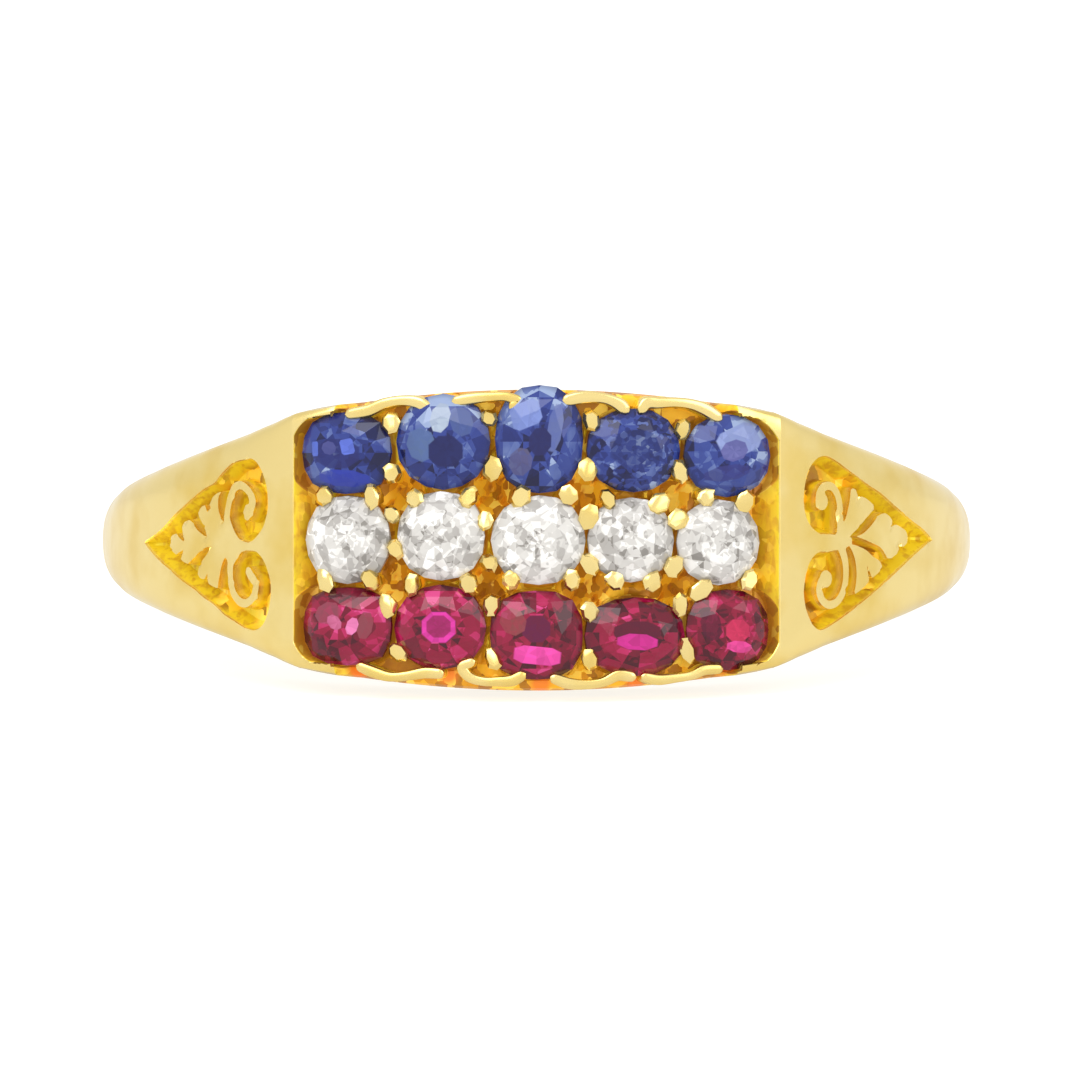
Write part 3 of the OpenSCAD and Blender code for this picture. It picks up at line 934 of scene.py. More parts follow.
    def tone(self, u: np.ndarray, z: np.ndarray) -> np.ndarray:
        """Finds how much painted shade darkens the gold in the field.

        Args:
            u: (N,) lengths at the girdles' level.
            z: (N,) heights.

        Returns:
            (N,) tones: 0 on the polished face, 1 in the deepest pits.
        """
        tone = np.minimum(self.sunk(u, z), self.floor_tone)
        inside = self.end_wall(u, z)
        edge, foot = self.end_edge_w, self.end_slope_w
        tone = np.maximum(tone, self.edge_tone * ramp(inside, 0, edge))
        slope = ramp(inside, 0, edge) * (1 - ramp(inside, foot, self.wall_tone_reach * foot))
        wall = self.wall_tone + self.wall_tone_rise * ramp(inside, edge, foot)
        tone = np.maximum(tone, wall * slope)
        bitten = ramp(-self.bites(u, z), -self.bite_shade_w, 0)
        tone = np.maximum(tone, self.bite_tone * bitten)
        beside = 1 - ramp(self.seats(u, z), 0.0, self.seat_shade_w)
        beside = beside * ramp(self.sunk(u, z), *self.seat_shade_depths)
        tone = np.maximum(tone, self.seat_tone * beside)
        for along, across in self.meetings():
            du, dz = u - along, z - across
            fade = 1 - ramp(np.hypot(du, dz), *self.groove_shade)
            line = 1 - ramp(self.from_cross(du, dz), 0.0, self.groove_line * self.groove_w)
            tone = np.maximum(tone, self.groove_tone * fade * line)
        return tone

    @staticmethod
    def from_cross(du: np.ndarray, dz: np.ndarray) -> np.ndarray:
        """Returns distances from the slanting cross that is cut in each pit."""
        return np.minimum(np.abs(du - dz), np.abs(du + dz)) / math.sqrt(2)


def open_edges(faces: np.ndarray) -> np.ndarray:
    """Finds the vertices that lie on an open edge.

    Args:
        faces: (M, 3) triangles.

    Returns:
        The open edges' vertices, in order.
    """
    edges = np.sort(np.vstack([faces[:, [0, 1]], faces[:, [1, 2]], faces[:, [2, 0]]]), axis=1)
    found, count = np.unique(edges, axis=0, return_counts=True)
    return np.unique(found[count == 1])


def stitched(first: np.ndarray, second: np.ndarray, turn_a: np.ndarray,
             turn_b: np.ndarray) -> list[tuple[int, int, int]]:
    """Joins two rings of vertices with triangles.

    Args:
        first: vertices of one ring.
        second: vertices of the other ring.
        turn_a: angles of the first ring's vertices round their middle, in radians.
        turn_b: angles of the second ring's vertices.

    Returns:
        The triangles between the rings.
    """
    order_a, order_b = np.argsort(turn_a), np.argsort(turn_b)
    a, b = first[order_a], second[order_b]
    turn_a, turn_b = np.sort(turn_a), np.sort(turn_b)
    i, j, made = 0, 0, []
    while i < len(a) or j < len(b):
        next_a = turn_a[(i + 1) % len(a)] + 2 * math.pi * ((i + 1) // len(a))
        next_b = turn_b[(j + 1) % len(b)] + 2 * math.pi * ((j + 1) // len(b))
        if j >= len(b) or (i < len(a) and next_a <= next_b):
            made.append((a[i % len(a)], a[(i + 1) % len(a)], b[j % len(b)]))
            i += 1
        else:
            made.append((a[i % len(a)], b[(j + 1) % len(b)], b[j % len(b)]))
            j += 1
    return made


def placed(name: str, data: bpy.types.ID) -> bpy.types.Object:
    """Makes an object at the origin.

    Args:
        name: the object's name.
        data: its mesh, lamp or camera.

    Returns:
        The object, linked to the scene.
    """
    made = bpy.data.objects.new(name, data)
    bpy.context.scene.collection.objects.link(made)
    return made


def face_outward(mesh: bpy.types.Mesh) -> None:
    """Turns a closed mesh's faces outward.

    Args:
        mesh: the mesh.
    """
    form = bmesh.new()
    form.from_mesh(mesh)
    bmesh.ops.recalc_face_normals(form, faces=form.faces)
    if form.calc_volume(signed=True) < 0:
        bmesh.ops.reverse_faces(form, faces=form.faces)
    form.to_mesh(mesh)
    form.free()


def coordinates(mesh: bpy.types.Mesh) -> np.ndarray:
    """Reads a mesh's points.

    Args:
        mesh: the mesh.

    Returns:
        (N, 3) points.
    """
    found = np.empty(len(mesh.vertices) * 3, dtype=np.float32)
    mesh.vertices.foreach_get("co", found)
    return found.reshape(-1, 3).astype(float)


def mesh_object(name: str, points: np.ndarray, faces: list, sharp_deg: float,
                marks: dict[str, np.ndarray]) -> bpy.types.Object:
    """Makes a mesh object at the origin.

    Args:
        name: the object's name.
        points: (N, 3) points in metres.
        faces: corner lists.
        sharp_deg: edges that fold more than this stay sharp.
        marks: (N,) values by attribute: "tone", the gold's painted shade, and its painted red
            light.

    Returns:
        The object, linked to the scene.
    """
    mesh = bpy.data.meshes.new(name)
    mesh.from_pydata(points.tolist(), [], [list(map(int, f)) for f in faces])
    for label in ("tone", "painted_red_light"):
        values = marks.get(label, np.zeros(len(points)))
        mesh.attributes.new(label, "FLOAT", "POINT").data.foreach_set("value", values)
    face_outward(mesh)
    mesh.shade_smooth()
    mesh.set_sharp_from_angle(angle=math.radians(sharp_deg))
    return placed(name, mesh)


def joined(name: str, parts: list[bpy.types.Object]) -> bpy.types.Object:
    """Joins objects at the origin into one object.

    Args:
        name: the joined object's name.
        parts: the objects, the first of which receives the others.

    Returns:
        The joined object.
    """
    with bpy.context.temp_override(active_object=parts[0], selected_editable_objects=parts):
        bpy.ops.object.join()
    parts[0].name = parts[0].data.name = name
    return parts[0]


@dataclass(frozen=True)
class SkinGrid:
    """The flat sheet that the gold's skin is made from, before it is cut.

    A point of the sheet is s, the length round the ring, and q, the place round the section. q is
    -1 to 1 on the outer face, 1 to 2 on the wall at +Z, 2.1 to 3.9 in the finger hole and 4 to 5
    on the wall at -Z. Between them are the finger hole's bevels.
    """

    profile: RingProfile
    head_step: float = 0.085
    ornament_step: float = 0.065
    ornament_l: float = 6.1
    shoulder_step: float = 0.2
    band_step: float = 0.36
    face_rows: int = 50
    edge_rows: int = 6
    edge_share: float = 0.9
    wall_rows: int = 5
    bore_rows: int = 24
    bore_middle: float = 3
    bore_half: float = 0.9

    def columns(self) -> np.ndarray:
        """Chooses the sheet's lengths round the ring.

        Returns:
            The lengths, in order.
        """
        p = self.profile
        stops = (
            (0.0, p.corner_s, self.head_step),
            (p.corner_s, p.corner_s + self.ornament_l, self.ornament_step),
            (p.corner_s + self.ornament_l, p.shoulder_end_s, self.shoulder_step),
            (p.shoulder_end_s, p.back_s, self.band_step),
        )
        half = np.concatenate([
            np.linspace(a, b, math.ceil((b - a) / step), endpoint=False) for a, b, step in stops
        ])
        return np.concatenate([-half[:0:-1], half, [p.back_s]])

    def rows(self) -> np.ndarray:
        """Chooses the sheet's places round the section.

        Returns:
            The places, in order.
        """
        middle = np.linspace(-self.edge_share, self.edge_share, self.face_rows + 1)
        edge = np.linspace(self.edge_share, 1, self.edge_rows + 1)[1:]
        wall = np.linspace(0, 1, self.wall_rows + 1)[1:]
        reach = self.bore_half
        bore = self.bore_middle + np.linspace(-reach, reach, self.bore_rows + 1)
        return np.concatenate([-edge[::-1], middle, edge, 1 + wall, bore, 5 - wall[::-1]])

    def flat_sheet(self) -> Sheet:
        """Lays out the sheet, which closes round the ring and round its section.

        Returns:
            The sheet, not yet cut.
        """
        columns, rows = self.columns(), self.rows()
        n, m = len(columns), len(rows)
        grid = np.stack(np.meshgrid(columns, rows, indexing="ij"), axis=2).reshape(-1, 2)
        i, j = np.meshgrid(np.arange(n), np.arange(m), indexing="ij")
        a, b = i * m + j, i * m + (j + 1) % m
        c, d = ((i + 1) % n) * m + (j + 1) % m, ((i + 1) % n) * m + j
        faces = np.concatenate([
            np.stack([a, b, c], axis=2).reshape(-1, 3),
            np.stack([a, c, d], axis=2).reshape(-1, 3),
        ])
        return Sheet(grid, faces)

    def folded(self, q: np.ndarray) -> np.ndarray:
        """Returns places round the section with those past the finger hole's middle mirrored."""
        return np.where(q > self.bore_middle, 2 * self.bore_middle - q, q)

    def across(self, sheet: np.ndarray) -> np.ndarray:
        """Finds the heights on the outer face.

        Args:
            sheet: (N, 2) sheet points.

        Returns:
            (N,) heights; those off the face are held at its edge.
        """
        side = np.where(sheet[:, 1] > self.bore_middle, -1.0, 1.0)
        q = np.clip(self.folded(sheet[:, 1]), -1, 1)
        return side * q * self.profile.top_half_width(sheet[:, 0])

    def on_outer(self, sheet: np.ndarray) -> np.ndarray:
        """Returns whether sheet points are on the outer face or a wall, not the finger hole."""
        return (sheet[:, 1] <= 2.0) | (sheet[:, 1] >= 4.0)

    def in_bore(self, sheet: np.ndarray) -> np.ndarray:
        """Returns whether sheet points are in the finger hole, not on its bevels."""
        return np.abs(sheet[:, 1] - self.bore_middle) <= self.bore_half

    def on_shoulder(self, sheet: np.ndarray, side: Side) -> np.ndarray:
        """Returns whether sheet points are on the outer face past the head on one side."""
        return (sheet[:, 0] * side.value > self.profile.corner_s) & (np.abs(sheet[:, 1]) <= 1)

    def bore_share(self, q: np.ndarray) -> np.ndarray:
        """Returns how far across the finger hole places lie, 1 at the side that faces +Z."""
        return (self.bore_middle - q) / self.bore_half

    def bore_places(self, sheet: np.ndarray) -> np.ndarray:
        """Returns the x and z of sheet points on the finger hole."""
        return self.profile.on_bore(sheet[:, 0], self.bore_share(sheet[:, 1]))[:, [0, 2]]


@dataclass(frozen=True)
class SkinLines:
    """The lines along which the sheet is cut: the field, the seats, the ornaments, the gallery."""

    grid: SkinGrid
    floor: HeadFloor
    plate_depth: float = 1.2
    gallery_wall: float = 0.65
    gallery_half_l: float = 4.75
    gallery_edge: float = 0.03

    def head_line(self, value: Measure, level: float, whole: bool,
                  sheet: np.ndarray) -> np.ndarray:
        """Measures sheet points from a line in the field under the stones.

        Args:
            value: gives a measure from lengths and heights.
            level: the measure's value on the line.
            whole: whether the line also crosses the finger hole.
            sheet: (N, 2) sheet points.

        Returns:
            (N,) distances from the line, 1 away from the head.
        """
        on = np.abs(sheet[:, 0]) <= self.grid.profile.corner_s
        on &= whole | self.grid.on_outer(sheet)
        found = np.ones(len(sheet))
        found[on] = value(self.floor.flat(sheet[on, 0]), self.grid.across(sheet[on])) - level
        return found

    def ornament_line(self, palmette: Palmette, level: float, relief: bool,
                      sheet: np.ndarray) -> np.ndarray:
        """Measures sheet points from an ornament's outline.

        Args:
            palmette: the ornament.
            level: how far out the line lies, in millimetres.
            relief: whether it follows the raised palmette and not the recess's wall.
            sheet: (N, 2) sheet points.

        Returns:
            (N,) distances from the line, 1 away from the ornament.
        """
        found = np.ones(len(sheet))
        places = palmette.local(self.grid.profile, sheet[:, 0], self.grid.across(sheet))
        on = (np.abs(sheet[:, 1]) < 1) & palmette.beside(places)
        measure = palmette.relief if relief else palmette.wall
        found[on] = measure(places[on]) - level
        return found

    def gallery(self, level: float, sheet: np.ndarray) -> np.ndarray:
        """Measures how far sheet points lie outside the open underside.

        Args:
            level: how far out the line lies, in millimetres.
            sheet: (N, 2) sheet points.

        Returns:
            (N,) distances from the line, negative in the opening.
        """
        profile = self.grid.profile
        found = np.ones(len(sheet))
        on = self.grid.in_bore(sheet) & (np.abs(sheet[:, 0]) < profile.corner_s + 1)
        x, z = self.grid.bore_places(sheet[on]).T
        half = profile.head_half_w - x * x / (2 * profile.side_arc_r)
        found[on] = np.maximum(
            np.abs(z) - half + self.gallery_wall, np.abs(x) - self.gallery_half_l
        ) - level
        return found

    def hole_middles(self) -> np.ndarray:
        """Finds the seat holes in the plate's underside.

        Returns:
            (N, 2) places, as x and z.
        """
        profile = self.grid.profile
        under = profile.head_arc_r - self.plate_depth
        return np.array([
            (under * math.sin(seat.along / profile.girdle_r), seat.across) for seat in SEATS
        ])

    def plate_holes(self, sheet: np.ndarray) -> np.ndarray:
        """Measures how far points of the underside lie outside the seat holes.

        Args:
            sheet: (N, 2) sheet points.

        Returns:
            (N,) distances, negative in a hole.
        """
        found = np.ones(len(sheet))
        on = self.grid.in_bore(sheet) & (np.abs(sheet[:, 0]) < self.grid.profile.corner_s)
        places = self.grid.bore_places(sheet[on])
        away = [np.hypot(*(places - middle).T) for middle in self.hole_middles()]
        found[on] = np.min(away, axis=0) - self.floor.hole_r
        return found

    def cut_lines(self) -> list[Field]:
        """Lists the lines along which the sheet bends.

        Returns:
            A field for each line, in the order of cutting.
        """
        floor, head, ornament = self.floor, self.head_line, self.ornament_line
        lines = [
            partial(head, value, level, whole) for value, level, whole in (
                (floor.end_wall, 0.0, True),
                (floor.end_wall, floor.end_slope_w, True),
                (floor.seats, floor.seat_clear, False),
                (floor.seats, floor.seat_clear - floor.seat_edge_w, False),
                (floor.holes, 0.0, False),
                (floor.end_wall, floor.end_edge_w, False),
                (floor.bites, floor.bite_shade_w, False),
                (floor.bites, 0.0, False),
                (floor.bites, -floor.bite_edge_w, False),
            )
        ]
        for palmette in PALMETTES:
            walls, reliefs = (0.0, -palmette.bevel, -palmette.slope_w), (0.0, palmette.relief_w)
            lines += [partial(ornament, palmette, level, False) for level in walls]
            lines += [partial(ornament, palmette, level, True) for level in reliefs]
        lines += [partial(self.gallery, level) for level in (0.0, -self.gallery_edge)]
        return lines + [self.plate_holes]


@dataclass(frozen=True)
class MountSkin:
    """The gold's whole skin in one closed mesh: outer face, side walls, finger hole, gallery."""

    grid: SkinGrid
    lines: SkinLines
    floor: HeadFloor
    pose: RestPose
    # Painted shade on the walls of the open underside
    gallery_tone: float = 0.1
    hole_reach: float = 0.05
    hole_slack: float = 0.01
    sharp_deg: float = 34

    def spread(self, sheet: np.ndarray, of_floor: Measure,
               of_palmette: Callable[[Palmette, np.ndarray], np.ndarray]) -> np.ndarray:
        """Finds a value for the sheet's points from the field's and the ornaments' values.

        Args:
            sheet: (N, 2) sheet points.
            of_floor: gives the value in the field from lengths and heights.
            of_palmette: gives the value in an ornament from its own places.

        Returns:
            (N,) values, 0 elsewhere.
        """
        z = self.grid.across(sheet)
        found = np.zeros(len(sheet))
        head = np.abs(sheet[:, 0]) <= self.grid.profile.corner_s
        found[head] = of_floor(self.floor.flat(sheet[head, 0]), z[head])
        for palmette in PALMETTES:
            on = self.grid.on_shoulder(sheet, palmette.side)
            places = palmette.local(self.grid.profile, sheet[on, 0], z[on])
            found[on] = of_palmette(palmette, places)
        return found

    def tones(self, sheet: np.ndarray) -> np.ndarray:
        """Finds how much painted shade darkens the gold.

        Args:
            sheet: (N, 2) sheet points.

        Returns:
            (N,) tones.
        """
        tone = self.spread(sheet, self.floor.tone, Palmette.tone)
        wall = np.abs(sheet[:, 1]) > 1
        # The open underside's walls get painted shade
        tone[wall] = np.where(self.lines.gallery(0, sheet[wall]) < 0, self.gallery_tone, 0)
        return tone

    def red_light_shares(self, sheet: np.ndarray) -> np.ndarray:
        """Finds the gold's painted red and warm light in the field under the stones.

        Args:
            sheet: (N, 2) sheet points.

        Returns:
            (N,) shares of red.
        """
        on = (np.abs(sheet[:, 0]) <= self.grid.profile.corner_s) & (np.abs(sheet[:, 1]) <= 1)
        found = np.zeros(len(sheet))
        u, z = self.floor.flat(sheet[on, 0]), self.grid.across(sheet[on])
        found[on] = self.floor.painted_red_light(u, z)
        return found

    def upright(self, sheet: np.ndarray, depth: np.ndarray) -> np.ndarray:
        """Finds the upright ring's points for sheet points.

        Args:
            sheet: (N, 2) sheet points.
            depth: (N,) depths below the outer face.

        Returns:
            (N, 3) points.
        """
        s, q = sheet.T
        profile, folded = self.grid.profile, self.grid.folded(q)
        outer = profile.on_face(s, self.grid.across(sheet), depth)
        wall = profile.on_wall(s, outer, np.clip(folded - 1, 0, 1))
        bore = profile.on_bore(s, np.clip(self.grid.bore_share(q), -1, 1))
        under = profile.head_arc_r - self.lines.plate_depth
        x = bore[:, 0]
        plate_y = profile.head_arc_y - np.sqrt(np.clip(under**2 - x**2, 0, None))
        risen = ramp(-self.lines.gallery(0, sheet), 0, self.lines.gallery_edge)
        bore[:, 1] += (plate_y - bore[:, 1]) * risen
        bevel = np.clip((folded - 2) / (1 - self.grid.bore_half), 0, 1)[:, None]
        lower = wall * (1 - bevel) + bore * bevel
        return np.where((np.abs(q) <= 1)[:, None], outer, lower)

    def tubes(self, sheet: np.ndarray, rim: np.ndarray) -> list[tuple[int, int, int]]:
        """Joins the holes in the field to the holes in the plate's underside.

        Args:
            sheet: (N, 2) sheet points.
            rim: the vertices on the holes' edges.

        Returns:
            The seat holes' walls, as triangles.
        """
        flat = np.column_stack([self.floor.flat(sheet[rim, 0]), self.grid.across(sheet[rim])])
        below = self.grid.bore_places(sheet[rim])
        in_bore = self.grid.in_bore(sheet[rim])
        reach = self.floor.hole_r + self.hole_reach
        made = []
        for seat, middle in zip(SEATS, self.lines.hole_middles()):
            top, foot = flat - [seat.along, seat.across], below - middle
            upper = ~in_bore & (np.hypot(*top.T) < reach)
            lower = in_bore & (np.hypot(*foot.T) < reach)
            made += stitched(
                rim[upper], rim[lower],
                np.arctan2(top[upper, 1], top[upper, 0]),
                np.arctan2(foot[lower, 1], foot[lower, 0]),
            )
        return made

    def build(self) -> bpy.types.Object:
        """Makes the skin.

        Returns:
            The skin's object, in the row frame.
        """
        sheet = self.grid.flat_sheet()
        for line in self.lines.cut_lines():
            sheet.cut(line)
        depth = self.spread(sheet.points, self.floor.sunk, Palmette.sunk)
        points = self.upright(sheet.points, depth)
        tone = self.tones(sheet.points)
        over = self.lines.head_line(self.floor.holes, 0.0, False, sheet.points)
        holed = np.minimum(over, self.lines.plate_holes(sheet.points))[sheet.faces]
        faces = sheet.faces[holed.max(axis=1) >= self.hole_slack]
        tubes = self.tubes(sheet.points, open_edges(faces))
        used, index = np.unique(np.vstack([faces, np.array(tubes)]), return_inverse=True)
        return mesh_object(
            "mount_skin", self.pose.place(points[used]), list(index.reshape(-1, 3)),
            self.sharp_deg, {"tone": tone[used], "painted_red_light": self.red_light_shares(sheet.points[used])},
        )


@dataclass(frozen=True)
class RimTab:
    """One scalloped tab of the rim: a bright bar that curls in over the stones beside it.

    Its path is in lengths round the ring and heights, and its top in half widths and heights.
    """

    path: tuple[tuple[float, float], ...]
    half_w: float = 0.115
    height: float = 0.6
    top: tuple[tuple[float, float], ...] = (
        (-1, -0.075), (-0.86, -0.022), (-0.55, -0.004), (0, 0),
        (0.55, -0.004), (0.86, -0.022), (1, -0.075),
    )
    end_turns_deg: tuple[float, ...] = (82, 62, 40, 20)
    end_fall: float = 0.03
    wear: float = 0.1
    wear_turn: float = 9
    # Painted shade along the foot of the tab
    foot_tone: float = 0.8
    sharp_deg: float = 50

    def build(self, name: str, profile: RingProfile, pose: RestPose) -> bpy.types.Object:
        """Sweeps the bar along its path on the head.

        Args:
            name: the bar's object name.
            profile: the ring's profile.
            pose: how the ring lies.

        Returns:
            The bar's object.
        """
        section = np.array([(-1, -self.height), *self.top, (1, -self.height)])
        path = rounded(np.array(self.path), False, steps=6, corner_deg=NO_CORNER_DEG)
        points, normals = profile.face(path[:, 0])
        middle = np.column_stack([points, path[:, 1]])
        up = np.column_stack([normals, np.zeros(len(path))])
        run = np.gradient(middle, axis=0)
        run /= np.linalg.norm(run, axis=1)[:, None]
        side = np.cross(up, run)
        wear = np.sin(np.linspace(0, self.wear_turn, len(path)))
        half_w = self.half_w * (1 + self.wear * wear)
        rings = []
        turns = np.radians(self.end_turns_deg)
        stations = [(0, turn) for turn in turns] + [(k, 0.0) for k in range(len(path))]
        stations += [(len(path) - 1, turn) for turn in turns[::-1]]
        for k, turn in stations:
            out = half_w[k] * math.sin(turn) * (-1 if k == 0 else 1)
            centre = middle[k] + run[k] * out
            low = self.end_fall * math.sin(turn) ** 2
            rings.append([
                centre + side[k] * x * half_w[k] * math.cos(turn) + up[k] * (y - low)
                for x, y in section
            ])
        n, m = len(rings), len(section)
        faces = [
            (i * m + j, i * m + (j + 1) % m, (i + 1) * m + (j + 1) % m, (i + 1) * m + j)
            for i in range(n - 1) for j in range(m)
        ]
        faces += [tuple(range(m)), tuple(range((n - 1) * m, n * m))]
        upright = np.array(rings).reshape(-1, 3)
        # Painted shade on the foot of the tab's section
        tone = np.tile(np.where(section[:, 1] == -self.height, self.foot_tone, 0.0), n)
        return mesh_object(name, pose.place(upright), faces, self.sharp_deg, {"tone": tone})


RIM_TABS = (
    RimTab(((-4.19, 2.78), (-3.80, 2.85), (-3.40, 3.01), (-3.00, 3.07), (-2.64, 3.03),
            (-2.40, 2.90)), 0.125),
    RimTab(((-1.76, 3.06), (-1.53, 3.1), (-1.04, 3.15), (-0.58, 3.13), (-0.41, 3.04),
            (-0.50, 2.96)), 0.115),
    RimTab(((0.70, 3.08), (0.95, 3.13), (1.32, 3.14), (1.61, 3.09), (1.85, 2.98),
            (1.95, 2.90)), 0.13),
    RimTab(((2.36, 2.90), (2.43, 3.0), (2.73, 3.02), (3.10, 3.03), (3.56, 2.97),
            (3.82, 2.87), (4.07, 2.72)), 0.125),
    RimTab(((-3.95, -2.80), (-3.66, -2.91), (-3.29, -3.01), (-2.86, -2.98),
            (-2.49, -2.92), (-2.17, -2.93))),
    RimTab(((-1.46, -2.70), (-1.65, -2.80), (-1.53, -2.98), (-1.22, -3.10),
            (-0.86, -3.11), (-0.51, -3.08), (-0.34, -2.99))),
    RimTab(((0.41, -3.05), (0.70, -3.15), (1.06, -3.18), (1.50, -3.12), (1.84, -2.97),
            (2.10, -3.0))),
    RimTab(((2.43, -3.02), (2.65, -3.07), (3.10, -3.04), (3.52, -2.97), (3.79, -2.86),
            (4.09, -2.84)), 0.11),
)

# Where each claw stands: its length round the ring and its height
CLAW_PLACES = (
    (-3.26, 2.59), (-3.25, 1.46), (-1.07, 2.67), (-0.98, 1.56), (1.22, 2.62), (1.14, 1.56),
    (3.29, 2.44), (3.20, 1.52), (-3.24, 0.55), (-3.15, -0.20), (-1.14, 0.42), (-1.03, -0.51),
    (1.16, 0.51), (1.20, -0.53), (3.17, 0.46), (3.08, -0.58), (-3.34, -1.45), (-3.08, -2.47),
    (-1.00, -1.43), (-0.97, -2.60), (1.18, -1.59), (1.18, -2.64), (3.22, -1.43), (3.38, -2.42),
    (-4.82, 0.97), (-3.72, 0.97), (-2.70, 0.90), (-1.49, 0.95), (-0.36, 0.93), (0.72, 0.99),
    (1.58, 0.90), (2.72, 0.79), (3.81, 0.95), (4.75, 0.84), (-4.80, -0.88), (-3.72, -0.88),
    (-2.79, -0.99), (-1.51, -0.95), (-0.56, -0.88), (0.77, -0.90), (1.73, -0.90), (2.60, -0.90),
    (3.70, -1.11), (4.85, -0.86),
)


class Wiring:
    """Adds nodes to a tree and links them, with plain numbers given where nothing is linked."""

    def __init__(self, tree: bpy.types.NodeTree) -> None:
        """Takes the tree to build in."""
        self.tree = tree

    def node(self, kind: str, inputs: dict | None = None, **settings) -> bpy.types.Node:
        """Adds one node.

        Args:
            kind: the node's type name.
            inputs: sockets or plain values by input name or number.
            settings: the node's own properties.

        Returns:
            The node.
        """
        made = self.tree.nodes.new(kind)
        for key, value in settings.items():
            setattr(made, key, value)
        self.feed(made, inputs or {})
        return made

    def feed(self, node: bpy.types.Node, inputs: dict) -> None:
        """Links sockets to a node's inputs, or sets them to plain values.

        Args:
            node: the node.
            inputs: sockets or plain values by input name or number.
        """
        for key, value in inputs.items():
            if isinstance(value, bpy.types.NodeSocket):
                self.tree.links.new(value, node.inputs[key])
            else:
                node.inputs[key].default_value = value

    def math(self, operation: str, *values, clamp: bool = False) -> bpy.types.NodeSocket:
        """Adds a Math node.

        Args:
            operation: the node's operation.
            clamp: whether the result is kept from 0 to 1.
            values: sockets or plain numbers.

        Returns:
            The result's socket.
        """
        made = self.node("ShaderNodeMath", dict(enumerate(values)), operation=operation,
                         use_clamp=clamp)
        return made.outputs[0]

    def vector(self, operation: str, *values) -> bpy.types.NodeSocket:
        """Returns the result of a Vector Math node on sockets or vectors."""
        made = self.node("ShaderNodeVectorMath", dict(enumerate(values)), operation=operation)
        return made.outputs["Value" if operation in ("LENGTH", "DOT_PRODUCT") else "Vector"]

    def noise(self, place: bpy.types.NodeSocket, scale: float,
              detail: float) -> bpy.types.NodeSocket:
        """Returns a noise's value at a place."""
        inputs = {"Vector": place, "Scale": scale, "Detail": detail}
        return self.node("ShaderNodeTexNoise", inputs).outputs[0]

    def attribute(self, name: str, output: str = "Fac") -> bpy.types.NodeSocket:
        """Returns a mesh attribute in a material."""
        return self.node("ShaderNodeAttribute", attribute_name=name).outputs[output]

    def parts(self, vector: bpy.types.NodeSocket) -> bpy.types.NodeOutputs:
        """Returns a vector's X, Y and Z sockets."""
        return self.node("ShaderNodeSeparateXYZ", {"Vector": vector}).outputs

    def lot(self, cells: bpy.types.Node) -> bpy.types.NodeSocket:
        """Returns the random number of each of a Voronoi texture's cells."""
        return self.node("ShaderNodeSeparateColor", {"Color": cells.outputs["Color"]}).outputs[0]

    def between(self, value: bpy.types.NodeSocket, low: float, high: float, start: float = 0.0,
                end: float = 1.0) -> bpy.types.NodeSocket:
        """Returns value mapped from low..high to start..end, kept inside them."""
        inputs = {"Value": value, "From Min": low, "From Max": high, "To Min": start, "To Max": end}
        return self.node("ShaderNodeMapRange", inputs).outputs["Result"]

    def mixed(self, share: Given, first: Given, second: Given,
              blend: str = "MIX") -> bpy.types.NodeSocket:
        """Blends two colours.

        Args:
            share: the second colour's share.
            first: a colour or its socket.
            second: a colour or its socket.
            blend: the node's blend type.

        Returns:
            The blended colour's socket.
        """
        colours = {0: share, 6: first, 7: second}
        return self.node("ShaderNodeMix", colours, data_type="RGBA", blend_type=blend).outputs[2]

    def bands(self, value: bpy.types.NodeSocket, colours: list[tuple[float, tuple]],
              smooth: bool) -> bpy.types.NodeSocket:
        """Returns a colour ramp's colour.

        Args:
            value: the socket that is looked up.
            colours: places and colours of the ramp.
            smooth: whether neighbouring colours blend.

        Returns:
            The colour socket.
        """
        made = self.node("ShaderNodeValToRGB", {"Fac": value})
        made.color_ramp.interpolation = "LINEAR" if smooth else "CONSTANT"
        stops = made.color_ramp.elements
        while len(stops) < len(colours):
            stops.new(0.5)
        for stop, (place, colour) in zip(stops, colours):
            stop.position = place
            stop.color = colour
        return made.outputs["Color"]


def linear(red: int, green: int, blue: int) -> tuple[float, float, float, float]:
    """Returns a picture colour (0 to 255) as the linear colour that materials use."""
    parts = [c / 255 for c in (red, green, blue)]
    return (*[c / 12.92 if c <= 0.04045 else ((c + 0.055) / 1.055) ** 2.4 for c in parts], 1.0)


def grey(value: float) -> tuple[float, float, float, float]:
    """Returns a grey as a linear colour."""
    return (value, value, value, 1.0)


def new_material(name: str) -> tuple[bpy.types.Material, Wiring, bpy.types.Node]:
    """Makes a material.

    Args:
        name: the material's name.

    Returns:
        The material, its wiring and its Principled shader.
    """
    made = bpy.data.materials.new(name)
    made.use_nodes = True
    wiring = Wiring(made.node_tree)
    return made, wiring, made.node_tree.nodes["Principled BSDF"]


